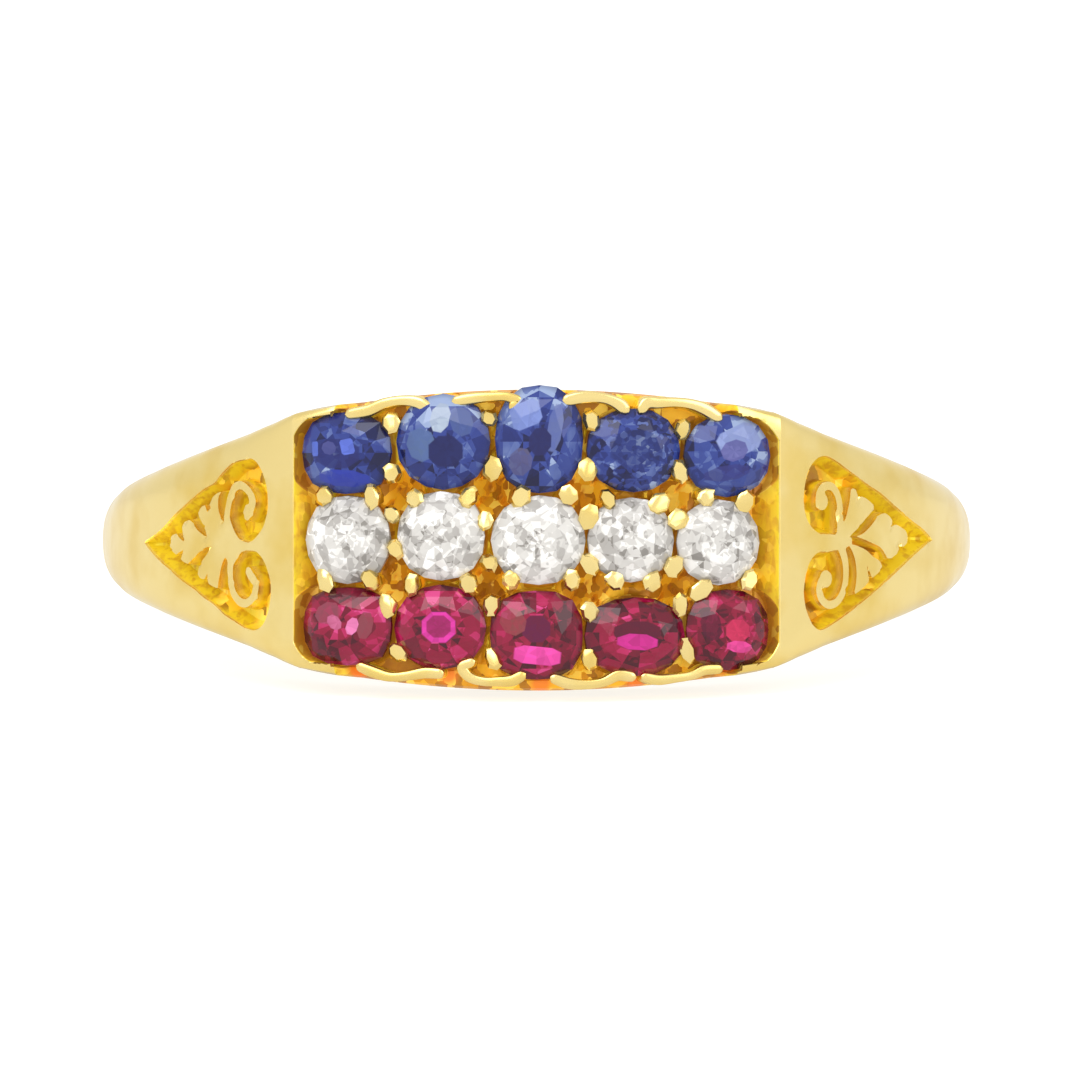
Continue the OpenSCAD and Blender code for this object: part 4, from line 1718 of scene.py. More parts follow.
@dataclass(frozen=True)
class GoldWithPaintedLight:
    """Worn yellow gold, polished on the outside and painted a deep warm yellow and brown in the
    recesses: painted shade, painted reflected light and a painted glow.

    Scales and marks are per metre. The ranges of tones say where each colour begins and is full.
    """

    polished: tuple = (0.93, 0.735, 0.30, 1)
    worn: tuple = (0.86, 0.63, 0.185, 1)
    # The recesses' colour: painted warm light of gold reflected in gold
    recess: tuple = (0.79, 0.60, 0.02, 1)
    chiselled: tuple = (0.56, 0.31, 0.015, 1)
    # Painted shade in the deepest pits
    pit: tuple = (0.34, 0.155, 0.022, 1)
    # The red of the rubies' painted reflection and of the field's painted warm light
    painted_red_light: tuple = (0.86, 0.20, 0.02, 1)
    # Flecks of painted light and shade in the deep parts of the field
    cells: tuple = (
        (0.0, (0.26, 0.09, 0.005, 1)), (0.3, (0.58, 0.26, 0.01, 1)),
        (0.56, (0.84, 0.47, 0.02, 1)), (0.82, (1.0, 0.72, 0.10, 1)),
    )
    cell_scale: float = 3300
    mottle_scale: float = 650
    grain_scale: float = 3800
    chisel_marks: tuple = (5200, 5200, 1500)
    scratches: tuple = (1400, 1400, 7000)
    worn_range: tuple[float, float] = (0.42, 0.66)
    grain_range: tuple[float, float] = (0.5, 0.66)
    mark_range: tuple[float, float] = (0.54, 0.66)
    chiselled_share: float = 0.8
    recess_tones: tuple[float, float] = (0.02, 0.24)
    cell_tones: tuple[float, float] = (0.34, 0.48)
    pit_tones: tuple[float, float] = (0.6, 1.05)
    red_light_range: tuple[float, float] = (0.1, 0.7)
    cell_share: float = 0.85
    pit_share: float = 0.85
    red_light_share: float = 0.9
    roughness: tuple[float, float] = (0.15, 0.27)
    roughness_range: tuple[float, float] = (0.3, 0.7)
    recess_roughness: float = 0.18
    recess_metal: float = 0.4
    # Painted light: the recesses and deep parts glow in their own colour
    recess_glow: float = 0.1
    pit_glow: float = 0.2
    bump_strength: float = 0.35
    bump_depth: float = 0.00003
    mottle_bump: float = 0.6
    scratch_bump: float = 0.06
    mark_bump: float = 0.6

    def build(self) -> bpy.types.Material:
        """Makes the gold material.

        Returns:
            The material.
        """
        made, w, shader = new_material("gold")
        place = w.node("ShaderNodeTexCoord").outputs["Object"]
        tone = w.attribute("tone")
        mottle = w.noise(place, self.mottle_scale, 3)
        grain = w.noise(place, self.grain_scale, 4)
        marks = w.noise(w.vector("MULTIPLY", place, self.chisel_marks), 1, 2)
        scratch = w.noise(w.vector("MULTIPLY", place, self.scratches), 1, 2)
        # How far the gold takes its painted recess colours, by its painted shade
        sunk = w.between(tone, *self.recess_tones)
        colour = w.mixed(w.between(mottle, *self.worn_range), self.polished, self.worn)
        cut = w.math("MAXIMUM", w.between(grain, *self.grain_range),
                     w.between(marks, *self.mark_range))
        cut = w.math("MULTIPLY", cut, self.chiselled_share)
        ground = w.mixed(cut, self.recess, self.chiselled)
        split = w.node("ShaderNodeTexVoronoi", {
            "Vector": place, "Scale": self.cell_scale,
        }, distance="MANHATTAN")
        # Flecks of painted light and shade in the deep parts
        deep = w.between(tone, *self.cell_tones, 0, self.cell_share)
        ground = w.mixed(deep, ground, w.bands(w.lot(split), list(self.cells), False))
        # Painted shade in the deepest pits
        pit = w.between(tone, *self.pit_tones, 0, self.pit_share)
        ground = w.mixed(pit, ground, self.pit)
        # Painted red light: the rubies' reflection and warm light in the field
        red = w.between(w.attribute("painted_red_light"), *self.red_light_range, 0, self.red_light_share)
        ground = w.mixed(red, ground, self.painted_red_light)
        colour = w.mixed(sunk, colour, ground)
        rough = w.between(mottle, *self.roughness_range, *self.roughness)
        rough = w.math("ADD", rough, w.math("MULTIPLY", sunk, self.recess_roughness))
        # Painted light: the recesses glow, more in the deep parts
        glow = w.math("ADD", w.math("MULTIPLY", sunk, self.recess_glow),
                      w.math("MULTIPLY", deep, self.pit_glow))
        height = w.math("ADD", w.math("MULTIPLY", mottle, self.mottle_bump),
                        w.math("MULTIPLY", scratch, self.scratch_bump))
        cuts = w.math("MULTIPLY", w.math("MULTIPLY", marks, sunk), self.mark_bump)
        height = w.math("ADD", height, cuts)
        bump = w.node("ShaderNodeBump", {
            "Strength": self.bump_strength, "Distance": self.bump_depth, "Height": height,
        })
        w.feed(shader, {
            "Base Color": colour, "Roughness": rough, "Normal": bump.outputs[0],
            "Metallic": w.between(sunk, 0, 1, 1, self.recess_metal),
            "Emission Color": colour, "Emission Strength": glow,
        })
        return made


@dataclass(frozen=True)
class GemTones:
    """The colours that a kind of stone throws back, painted as lit and shaded copies of its colour,
    from its darkest facets to its palest.
    """

    name: str
    dark: tuple
    deep: tuple
    body: tuple
    bright: tuple
    pale: tuple
    # How much painted shade darkens the stone towards its outline
    girdle: float = 0.5
    steps: tuple[float, ...] = (0.0, 0.24, 0.46, 0.72, 0.92)

    def stops(self) -> list[tuple[float, tuple]]:
        """Returns the colours with the lightness, 0 to 1, at which each begins."""
        colours = (self.dark, self.deep, self.body, self.bright, self.pale)
        return list(zip(self.steps, colours))


SAPPHIRE_TONES = GemTones(
    "sapphire", linear(12, 14, 56), linear(24, 35, 98), linear(38, 53, 124),
    linear(60, 78, 142), linear(136, 152, 186),
)
DIAMOND_TONES = GemTones(
    "diamond", linear(124, 120, 114), linear(160, 156, 151), linear(191, 188, 183),
    linear(216, 213, 208), linear(242, 241, 239), girdle=0.15,
)
RUBY_TONES = GemTones(
    "ruby", linear(56, 0, 18), linear(94, 0, 30), linear(124, 4, 42),
    linear(160, 16, 70), linear(196, 58, 120),
)


@dataclass(frozen=True)
class Pane:
    """One large facet painted into a stone: a window through it or a broad reflection."""

    across: float
    up: float
    half_l: float
    half_h: float
    colour: tuple
    turn_deg: float = 0.0
    lean: float = 0.0
    share: float = 1.0
    corners: float = 0.7
    edge: tuple[float, float] = (0.96, 1.04)

    def inside(self, w: Wiring, cut: bpy.types.NodeSocket) -> bpy.types.NodeSocket:
        """Makes the pane's share of a stone's colour, with the pane's corners cut off.

        Args:
            w: the material's wiring.
            cut: the place in the cut stone.

        Returns:
            The share's socket, 0 outside the pane.
        """
        moved = w.vector("SUBTRACT", cut, (self.across, self.up, 0))
        aim = math.radians(self.turn_deg)
        along = w.vector("DOT_PRODUCT", moved, (math.cos(aim), math.sin(aim), 0))
        over = w.vector("DOT_PRODUCT", moved, (-math.sin(aim), math.cos(aim), 0))
        along = w.math("MULTIPLY_ADD", over, self.lean, along)
        along = w.math("DIVIDE", w.math("ABSOLUTE", along), self.half_l)
        over = w.math("DIVIDE", w.math("ABSOLUTE", over), self.half_h)
        clipped = w.math("MULTIPLY", w.math("ADD", along, over), self.corners)
        reach = w.math("MAXIMUM", w.math("MAXIMUM", along, over), clipped)
        return w.between(reach, *self.edge, self.share, 0)


@dataclass(frozen=True)
class GemLook:
    """How one stone's facets show, painted in its colour: a pattern of painted reflections and
    shade, its panes and a painted highlight on its pale side.

    A beam is a direction in which the facets' rings are cut: its lean, their number's share and
    their shift.
    """

    tones: GemTones
    seed: float
    middle: tuple[float, float] = (0.0, 0.0)
    rings: float = 2.3
    shards: float = 0.3
    shard_scale: float = 2.6
    lift: float = 0.0
    # The side that gets a painted highlight, and how strong it is
    sky_deg: float = 90.0
    sky: float = 0.0
    panes: tuple[Pane, ...] = ()
    drift: float = 0.15
    drift_scale: float = 1.4
    drift_range: tuple[float, float] = (0.3, 0.7)
    beams: tuple[tuple[float, float, float], ...] = (
        (0, 1.0, 0.2), (-FACET_TURN, 1.25, 0.6), (math.pi / 5, 0.9, 0.4),
    )
    sector_steps: tuple[float, float] = (3.17, 1.3)
    shard_shift: float = 0.7
    sky_range: tuple[float, float] = (0.05, 0.7)
    pane_tones: tuple[float, float] = (0.1, 0.9)
    pane_deep: float = 0.35
    rim_range: tuple[float, float] = (0.9, 1.02)
    facet_step: float = 0.08
    softness: float = 0.35
    roughness: float = 0.05
    ior: float = 1.45
    coat: float = 0.08
    coat_roughness: float = 0.02

    def mosaic(self, w: Wiring, cut: bpy.types.NodeSocket) -> bpy.types.NodeSocket:
        """Makes a tone for each straight-sided cell that the facets' reflections make.

        Args:
            w: the material's wiring.
            cut: the place in the cut stone.

        Returns:
            The tone's socket.
        """
        parts = w.parts(cut)
        x = w.math("SUBTRACT", parts["X"], self.middle[0])
        y = w.math("SUBTRACT", parts["Y"], self.middle[1])
        turn = w.math("DIVIDE", w.math("ARCTAN2", y, x), FACET_TURN)
        sector = w.math("FLOOR", turn)
        folded = w.math("MULTIPLY", w.math("PINGPONG", turn, 1.0), FACET_TURN)
        reach = w.vector("LENGTH", w.node("ShaderNodeCombineXYZ", {"X": x, "Y": y}).outputs[0])
        ids = []
        for lean, share, shift in self.beams:
            along = w.math("MULTIPLY", reach, w.math("COSINE", w.math("ADD", folded, lean)))
            ids.append(w.math("FLOOR", w.math("MULTIPLY_ADD", along, self.rings * share, shift)))
        ids[0] = w.math("MULTIPLY_ADD", sector, self.sector_steps[0], ids[0])
        ids[2] = w.math("MULTIPLY_ADD", sector, self.sector_steps[1], ids[2])
        ids[1] = w.math("ADD", ids[1], self.seed)
        cell = w.node("ShaderNodeCombineXYZ", dict(zip("XYZ", ids))).outputs[0]
        return w.node("ShaderNodeTexWhiteNoise", {"Vector": cell}).outputs["Value"]

    def tone(self, w: Wiring, cut: bpy.types.NodeSocket) -> bpy.types.NodeSocket:
        """Makes how light each point of the stone is painted, from 0 to 1: painted reflections and
        shade.

        Args:
            w: the material's wiring.
            cut: the place in the cut stone.

        Returns:
            The tone's socket.
        """
        shards = w.node("ShaderNodeTexVoronoi", {
            "Vector": w.vector("ADD", cut, (self.seed, self.seed * self.shard_shift, 0)),
            "Scale": self.shard_scale, "Randomness": 1.0,
        }, distance="MANHATTAN")
        tone = w.math("MULTIPLY_ADD", w.lot(shards), self.shards,
                      w.math("MULTIPLY", self.mosaic(w, cut), 1 - self.shards))
        drift = w.noise(w.vector("ADD", cut, (self.seed * 2, 0, 0)), self.drift_scale, 2)
        low, high = self.lift - self.drift, self.lift + self.drift
        drift = w.between(drift, *self.drift_range, low, high)
        tone = w.math("ADD", tone, drift)
        step = w.between(w.attribute("facet"), 0, 1, -self.facet_step, self.facet_step)
        tone = w.math("ADD", tone, step)
        # A painted highlight on the stone's side that faces the sky
        if self.sky:
            aim = math.radians(self.sky_deg)
            facing = w.vector("DOT_PRODUCT", cut, (math.cos(aim), math.sin(aim), 0))
            tone = w.math("ADD", tone, w.between(facing, *self.sky_range, 0, self.sky))
        return tone

    def build(self, name: str) -> bpy.types.Material:
        """Makes the stone's material.

        Args:
            name: the material's name.

        Returns:
            The material.
        """
        made, w, shader = new_material(name)
        cut = w.attribute("cut", "Vector")
        t = self.tones
        tone = self.tone(w, cut)
        sharp, soft = (w.bands(tone, t.stops(), smooth) for smooth in (False, True))
        colour = w.mixed(self.softness, sharp, soft)
        # Panes: painted windows and painted reflections
        for pane in self.panes:
            deep = w.between(tone, *self.pane_tones, 0, self.pane_deep)
            shade = w.mixed(deep, pane.colour, t.deep)
            colour = w.mixed(pane.inside(w, cut), colour, shade)
        # Painted shade that darkens the stone towards its outline
        flat = w.vector("LENGTH", w.vector("MULTIPLY", cut, (1, 1, 0)))
        colour = w.mixed(w.between(flat, *self.rim_range, 0, t.girdle), colour, t.dark)
        w.feed(shader, {
            "Base Color": colour, "Roughness": self.roughness, "IOR": self.ior,
            "Coat Weight": self.coat, "Coat Roughness": self.coat_roughness,
        })
        return made


# Each stone's painted reflections, windows and highlights; the magenta is a painted flash in the
# rubies
MAGENTA = linear(206, 44, 150)
SAPPHIRE_LOOKS = (
    GemLook(SAPPHIRE_TONES, 1.3, (0.0, 0.0), rings=1.7, lift=-0.06, panes=(
        Pane(0.02, -0.62, 0.56, 0.2, linear(36, 52, 158), -4, share=0.8),
        Pane(-0.1, -0.02, 0.5, 0.36, linear(26, 30, 92), share=0.85),
        Pane(0.13, 0.15, 0.15, 0.19, linear(84, 104, 196), 12, corners=0.58),
        Pane(-0.61, 0.1, 0.08, 0.18, linear(76, 98, 186), 4, corners=0.58),
        Pane(-0.28, 0.12, 0.15, 0.16, linear(62, 66, 124), 30),
    )),
    GemLook(SAPPHIRE_TONES, 4.1, (0.12, -0.16), rings=2.0, sky_deg=105, sky=0.3, lift=-0.02, panes=(
        Pane(-0.42, -0.06, 0.3, 0.34, linear(88, 112, 152), 24, share=0.7),
        Pane(-0.02, 0.5, 0.2, 0.3, linear(178, 192, 206), -12, share=0.85),
        Pane(0.42, 0.42, 0.22, 0.3, linear(74, 92, 142), 20, share=0.7),
        Pane(0.1, -0.2, 0.36, 0.32, linear(16, 20, 74), 0),
    )),
    GemLook(SAPPHIRE_TONES, 7.7, (0.0, -0.05), rings=2.2, sky_deg=120, sky=0.28, lift=-0.04, panes=(
        Pane(-0.3, 0.45, 0.34, 0.24, linear(124, 142, 204), 18, share=0.9, corners=0.6),
        Pane(0.36, 0.2, 0.16, 0.44, linear(96, 110, 166), -12, share=0.7),
        Pane(-0.42, -0.42, 0.26, 0.24, linear(88, 84, 116), 36, share=0.7),
        Pane(0.02, -0.05, 0.26, 0.24, linear(22, 24, 78), 45),
    )),
    GemLook(SAPPHIRE_TONES, 2.9, (0.0, -0.05), rings=2.8, shards=0.7, shard_scale=6.0, panes=(
        Pane(0.02, 0.02, 0.56, 0.46, linear(22, 34, 92), 0, share=0.6),
    )),
    GemLook(SAPPHIRE_TONES, 9.2, (0.05, 0.1), rings=2.1, sky_deg=60, sky=0.22, panes=(
        Pane(0.18, 0.36, 0.5, 0.34, linear(142, 156, 204), 26, share=0.9, corners=0.6),
        Pane(0.05, 0.12, 0.3, 0.24, linear(92, 90, 150), 20, share=0.9),
        Pane(-0.1, -0.42, 0.5, 0.18, linear(44, 44, 110), 10, share=0.7),
    )),
)
DIAMOND_LOOKS = tuple(
    GemLook(DIAMOND_TONES, seed, at, rings=3.5, shards=0.5, shard_scale=4.2, lift=lift - 0.03)
    for seed, at, lift in (
        (3.3, (0.1, 0.1), 0.1), (5.8, (-0.1, 0.0), 0.12), (8.4, (0.05, -0.1), 0.08),
        (1.9, (0.0, 0.1), 0.12), (6.6, (0.0, 0.0), 0.08),
    )
)
RUBY_LOOKS = (
    GemLook(RUBY_TONES, 2.2, (-0.1, 0.1), rings=1.8, lift=0.06, sky_deg=45, sky=0.16, panes=(
        Pane(-0.34, 0.34, 0.3, 0.26, linear(140, 66, 84), 34, share=0.7),
        Pane(0.5, 0.02, 0.16, 0.34, linear(134, 60, 72), -8, share=0.8),
        Pane(0.22, 0.0, 0.13, 0.22, linear(222, 118, 172), -16),
        Pane(-0.18, 0.1, 0.14, 0.2, linear(196, 98, 140), 30, share=0.9),
    )),
    GemLook(RUBY_TONES, 6.1, (0.02, 0.0), rings=2.1, lift=0.02, panes=(
        Pane(0.02, 0.0, 0.36, 0.36, MAGENTA, 0),
        Pane(0.02, 0.02, 0.26, 0.26, linear(150, 16, 92), 0),
    )),
    GemLook(RUBY_TONES, 3.7, (0.0, 0.1), rings=2.1, panes=(
        Pane(0.0, 0.14, 0.3, 0.3, linear(86, 0, 52), 0),
        Pane(-0.5, 0.3, 0.26, 0.3, linear(140, 62, 66), 30, share=0.7),
        Pane(0.02, -0.46, 0.5, 0.2, linear(226, 66, 160), -6, corners=0.62),
    )),
    GemLook(RUBY_TONES, 9.5, (0.05, 0.1), rings=2.3, lift=-0.1, panes=(
        Pane(0.0, 0.12, 0.46, 0.26, linear(78, 0, 34), 0),
        Pane(0.0, -0.14, 0.4, 0.2, linear(190, 30, 130), -4),
    )),
    GemLook(RUBY_TONES, 5.4, (0.1, -0.05), rings=2.5, shards=0.5, shard_scale=3.2, panes=(
        Pane(-0.5, 0.1, 0.22, 0.36, linear(70, 0, 34), 10, share=0.8),
        Pane(0.12, -0.02, 0.28, 0.28, linear(186, 34, 78), 0),
        Pane(0.16, -0.42, 0.3, 0.14, linear(216, 60, 140), -6),
    )),
)


def form_tree(name: str, inputs: dict[str, tuple[str, float | int]]) -> tuple:
    """Starts a Geometry Nodes tree.

    Args:
        name: the tree's name.
        inputs: socket type and starting value by input name.

    Returns:
        The tree, its wiring, the Group Input node and the input sockets' identifiers by name.
    """
    tree = bpy.data.node_groups.new(name, "GeometryNodeTree")
    tree.interface.new_socket("Geometry", in_out="OUTPUT", socket_type="NodeSocketGeometry")
    tree.interface.new_socket("Geometry", in_out="INPUT", socket_type="NodeSocketGeometry")
    ids = {}
    for label, (kind, value) in inputs.items():
        socket = tree.interface.new_socket(label, in_out="INPUT", socket_type=kind)
        if value is not None:
            socket.default_value = value
        ids[label] = socket.identifier
    return tree, Wiring(tree), tree.nodes.new("NodeGroupInput"), ids


def finish_tree(w: Wiring, geometry: bpy.types.NodeSocket, material: bpy.types.NodeSocket) -> None:
    """Ends a tree in realized instances with a material.

    Args:
        w: the tree's wiring.
        geometry: the last geometry.
        material: the material socket.
    """
    real = w.node("GeometryNodeRealizeInstances", {"Geometry": geometry}).outputs[0]
    painted = w.node("GeometryNodeSetMaterial", {"Geometry": real, "Material": material})
    w.node("NodeGroupOutput", {0: painted.outputs[0]})


def grown(host: bpy.types.Object, tree: bpy.types.NodeTree, ids: dict[str, str],
          values: dict) -> bpy.types.Mesh:
    """Evaluates a Geometry Nodes tree on an object and keeps the result as a plain mesh.

    Args:
        host: the object that carries the tree; it is removed.
        tree: the tree.
        ids: input identifiers by name.
        values: values by input name.

    Returns:
        The mesh.
    """
    modifier = host.modifiers.new("form", "NODES")
    modifier.node_group = tree
    for label, value in values.items():
        modifier[ids[label]] = value
    graph = bpy.context.evaluated_depsgraph_get()
    graph.update()
    made = bpy.data.meshes.new_from_object(host.evaluated_get(graph))
    host.modifiers.remove(modifier)
    plain = host.data
    bpy.data.objects.remove(host)
    bpy.data.meshes.remove(plain)
    return made


@dataclass
class Claws:
    """The gold claws that hold the stones, grown by Geometry Nodes from a short table."""

    profile: RingProfile
    pose: RestPose
    places: tuple[tuple[float, float], ...] = CLAW_PLACES
    height: float = 0.75
    radius: float = 0.21
    sides: int = 7
    unevenness: float = 0.045
    shape: tuple[tuple[float, float], ...] = (
        (0, 0.62), (0.6, 0.78), (0.84, 0.98), (0.93, 1.0), (0.98, 0.92), (1, 0.72),
    )
    shape_rows: int = 13
    seed: int = 7
    stand_out: float = 0.01
    lean: float = 0.08
    widths: tuple[float, float] = (0.84, 1.1)
    lengths: tuple[float, float] = (1.05, 1.5)
    spin: float = 0.7
    noise_scale: float = 3.1
    # Painted shade at the claws' feet
    foot_tone: float = 0.6
    foot_range: tuple[float, float] = (0.06, 0.4)
    sharp_deg: float = 40

    def tree(self) -> tuple:
        """Makes the claws' Geometry Nodes tree.

        Returns:
            The tree and its input identifiers.
        """
        tree, w, given, ids = form_tree("claw_setting", {
            "Height": ("NodeSocketFloat", self.height),
            "Radius": ("NodeSocketFloat", self.radius),
            "Sides": ("NodeSocketInt", self.sides),
            "Unevenness": ("NodeSocketFloat", self.unevenness),
            "Gold": ("NodeSocketMaterial", None),
        })
        inputs = given.outputs
        foot = w.node("ShaderNodeCombineXYZ", {"Z": w.math("MULTIPLY", inputs["Height"], -1)})
        ends = {"Start": foot.outputs[0], "End": (0, 0, 0)}
        line = w.node("GeometryNodeCurvePrimitiveLine", ends)
        line = w.node("GeometryNodeResampleCurve", {
            "Curve": line.outputs[0], "Count": self.shape_rows})
        share = w.node("GeometryNodeSplineParameter").outputs["Factor"]
        curve = w.node("ShaderNodeFloatCurve", {"Value": share})
        points = curve.mapping.curves[0].points
        while len(points) < len(self.shape):
            points.new(0.5, 0.5)
        for point, place in zip(points, self.shape):
            point.location = place
            point.handle_type = "VECTOR"
        curve.mapping.update()
        radius = w.math("MULTIPLY", curve.outputs[0], inputs["Radius"])
        circle = w.node("GeometryNodeCurvePrimitiveCircle", {
            "Resolution": inputs["Sides"], "Radius": 1.0})
        claw = w.node("GeometryNodeCurveToMesh", {
            "Curve": line.outputs[0], "Profile Curve": circle.outputs[0],
            "Scale": radius, "Fill Caps": True,
        })
        facing, size, spin = (
            w.node("GeometryNodeInputNamedAttribute", {"Name": name}, data_type=kind).outputs[0]
            for name, kind in (
                ("facing", "FLOAT_VECTOR"), ("size", "FLOAT_VECTOR"), ("spin", "FLOAT"),
            )
        )
        turned = w.node("FunctionNodeAlignRotationToVector", {"Vector": facing}, axis="Z")
        turned = w.node("FunctionNodeRotateRotation", {
            "Rotation": turned.outputs[0], "Rotate By": w.node(
                "FunctionNodeAxisAngleToRotation", {"Axis": (0, 0, 1), "Angle": spin}).outputs[0],
        }, rotation_space="LOCAL")
        standing = w.node("GeometryNodeInstanceOnPoints", {
            "Points": inputs["Geometry"], "Instance": claw.outputs[0],
            "Rotation": turned.outputs[0], "Scale": size,
        })
        real = w.node("GeometryNodeRealizeInstances", {"Geometry": standing.outputs[0]})
        at = w.node("GeometryNodeInputPosition").outputs[0]
        noise = w.node("ShaderNodeTexNoise", {
            "Vector": at, "Scale": self.noise_scale, "Detail": 2,
        })
        push = w.vector("MULTIPLY", w.vector("SUBTRACT", noise.outputs["Color"], (0.5, 0.5, 0.5)),
                        w.node("ShaderNodeCombineXYZ", {
                            key: w.math("MULTIPLY", inputs["Unevenness"], 4) for key in "XYZ"
                        }).outputs[0])
        uneven = w.node("GeometryNodeSetPosition", {"Geometry": real.outputs[0], "Offset": push})
        finish_tree(w, uneven.outputs[0], inputs["Gold"])
        return tree, ids

    def build(self, gold: bpy.types.Material) -> bpy.types.Object:
        """Grows the claws on the head.

        Args:
            gold: the gold material.

        Returns:
            One object with all claws, in the row frame.
        """
        rng = np.random.default_rng(self.seed)
        s, z = np.array(self.places).T
        points, normals = self.profile.face(s)
        tops = np.column_stack([points + normals * self.stand_out, z])
        mesh = bpy.data.meshes.new("claw_places")
        mesh.from_pydata(tops.tolist(), [], [])
        facing = np.column_stack([normals, rng.uniform(-self.lean, self.lean, len(s))])
        sizes = np.column_stack([
            rng.uniform(*self.widths, len(s)), rng.uniform(*self.lengths, len(s)), np.ones(len(s)),
        ])
        turns = rng.uniform(-self.spin, self.spin, len(s)).astype(np.float32)
        mesh.attributes.new("spin", "FLOAT", "POINT").data.foreach_set("value", turns)
        for label, values in (("facing", facing), ("size", sizes)):
            found = mesh.attributes.new(label, "FLOAT_VECTOR", "POINT")
            found.data.foreach_set("vector", values.astype(np.float32).reshape(-1))
        tree, ids = self.tree()
        made = grown(placed("claws", mesh), tree, ids, {
            "Height": self.height, "Radius": self.radius, "Sides": self.sides,
            "Unevenness": self.unevenness, "Gold": gold,
        })
        upright = coordinates(made)
        faces = [tuple(face.vertices) for face in made.polygons]
        near = np.argmin(np.linalg.norm(upright[:, None] - tops[None], axis=2), axis=1)
        out = np.column_stack([normals, np.zeros(len(s))])[near]
        down = ((tops[near] - upright) * out).sum(axis=1)
        bpy.data.meshes.remove(made)
        # Painted shade towards each claw's foot
        tone = self.foot_tone * ramp(down, *self.foot_range)
        lying = self.pose.place(upright)
        return mesh_object("claws", lying, faces, self.sharp_deg, {"tone": tone})


@dataclass(frozen=True)
class StoneCut:
    """How the stones are cut, as shares of their size, as the part's source has it."""

    facets: int = 8
    table: float = 0.54
    star: float = 0.77
    lower: float = 0.5
    culet: float = 0.1
    crown: float = 0.31
    girdle: float = 0.08
    pavilion: float = 0.84

    def level(self, ring: float, inner: float, height: float) -> float:
        """Returns the height over the girdle at which a ring of facet corners lies."""
        half = self.girdle / 2
        return half + height * (1 - ring * math.cos(FACET_TURN)) / (1 - inner)

    def tree(self) -> tuple:
        """Makes the stones' Geometry Nodes tree.

        Returns:
            The tree and its input identifiers.
        """
        tree, w, given, ids = form_tree("cut_stone", {
            "Length": ("NodeSocketFloat", 2.0),
            "Height": ("NodeSocketFloat", 2.0),
            "Squareness": ("NodeSocketFloat", 2.0),
            "Unevenness": ("NodeSocketFloat", 0.0),
            "Seed": ("NodeSocketInt", 1),
            "Gem": ("NodeSocketMaterial", None),
        })
        inputs = given.outputs
        half = self.girdle / 2
        main, rim = self.facets, 2 * self.facets
        rings = (
            (main, 0.0, self.table, half + self.crown),
            (main, FACET_TURN, self.star, self.level(self.star, self.table, self.crown)),
            (rim, 0.0, 1.0, half),
            (rim, 0.0, 1.0, -half),
            (main, FACET_TURN, self.lower, -self.level(self.lower, self.culet, self.pavilion)),
            (main, 0.0, self.culet, -half - self.pavilion),
        )
        join = w.node("GeometryNodeJoinGeometry")
        for count, turn, share, up in rings:
            circle = w.node("GeometryNodeMeshCircle", {"Vertices": count, "Radius": share})
            moved = w.node("GeometryNodeTransform", {
                "Geometry": circle.outputs[0], "Translation": (0, 0, up),
                "Rotation": (0, 0, turn),
            })
            tree.links.new(moved.outputs[0], join.inputs[0])
        at = w.node("GeometryNodeInputPosition").outputs[0]
        parts = w.parts(at)
        angle = w.math("ARCTAN2", parts["Y"], parts["X"])
        powered = [
            w.math("POWER", w.math("ABSOLUTE", w.math(kind, angle)), inputs["Squareness"])
            for kind in ("COSINE", "SINE")
        ]
        bulge = w.math("POWER", w.math("ADD", *powered), w.math("DIVIDE", -1, inputs["Squareness"]))
        jitter = w.node("FunctionNodeRandomValue", {
            "Seed": inputs["Seed"],
            0: (-1, -1, -1), 1: (1, 1, 1),
        }, data_type="FLOAT_VECTOR").outputs[0]
        half_l, half_h = (w.math("MULTIPLY", inputs[key], 0.5) for key in ("Length", "Height"))
        scaled = w.vector("MULTIPLY", at, w.node("ShaderNodeCombineXYZ", {
            "X": w.math("MULTIPLY", bulge, half_l), "Y": w.math("MULTIPLY", bulge, half_h),
            "Z": 1.0,
        }).outputs[0])
        shaken = w.node("ShaderNodeVectorMath", {0: jitter}, operation="SCALE")
        tree.links.new(inputs["Unevenness"], shaken.inputs["Scale"])
        shaped = w.node("GeometryNodeSetPosition", {
            "Geometry": join.outputs[0], "Position": w.vector("ADD", scaled, shaken.outputs[0]),
        })
        hull = w.node("GeometryNodeConvexHull", {"Geometry": shaped.outputs[0]})
        local = w.vector("DIVIDE", at, w.node("ShaderNodeCombineXYZ", {
            "X": half_l, "Y": half_h, "Z": 1.0,
        }).outputs[0])
        stored = w.node("GeometryNodeStoreNamedAttribute", {
            "Geometry": hull.outputs[0], "Name": "cut", "Value": local,
        }, data_type="FLOAT_VECTOR", domain="POINT")
        facet = w.node("FunctionNodeRandomValue", {
            "ID": w.node("GeometryNodeInputIndex").outputs[0], "Seed": inputs["Seed"],
        }, data_type="FLOAT")
        toned = w.node("GeometryNodeStoreNamedAttribute", {
            "Geometry": stored.outputs[0], "Name": "facet", "Value": facet.outputs["Value"],
        }, data_type="FLOAT", domain="FACE")
        finish_tree(w, toned.outputs[0], inputs["Gem"])
        return tree, ids


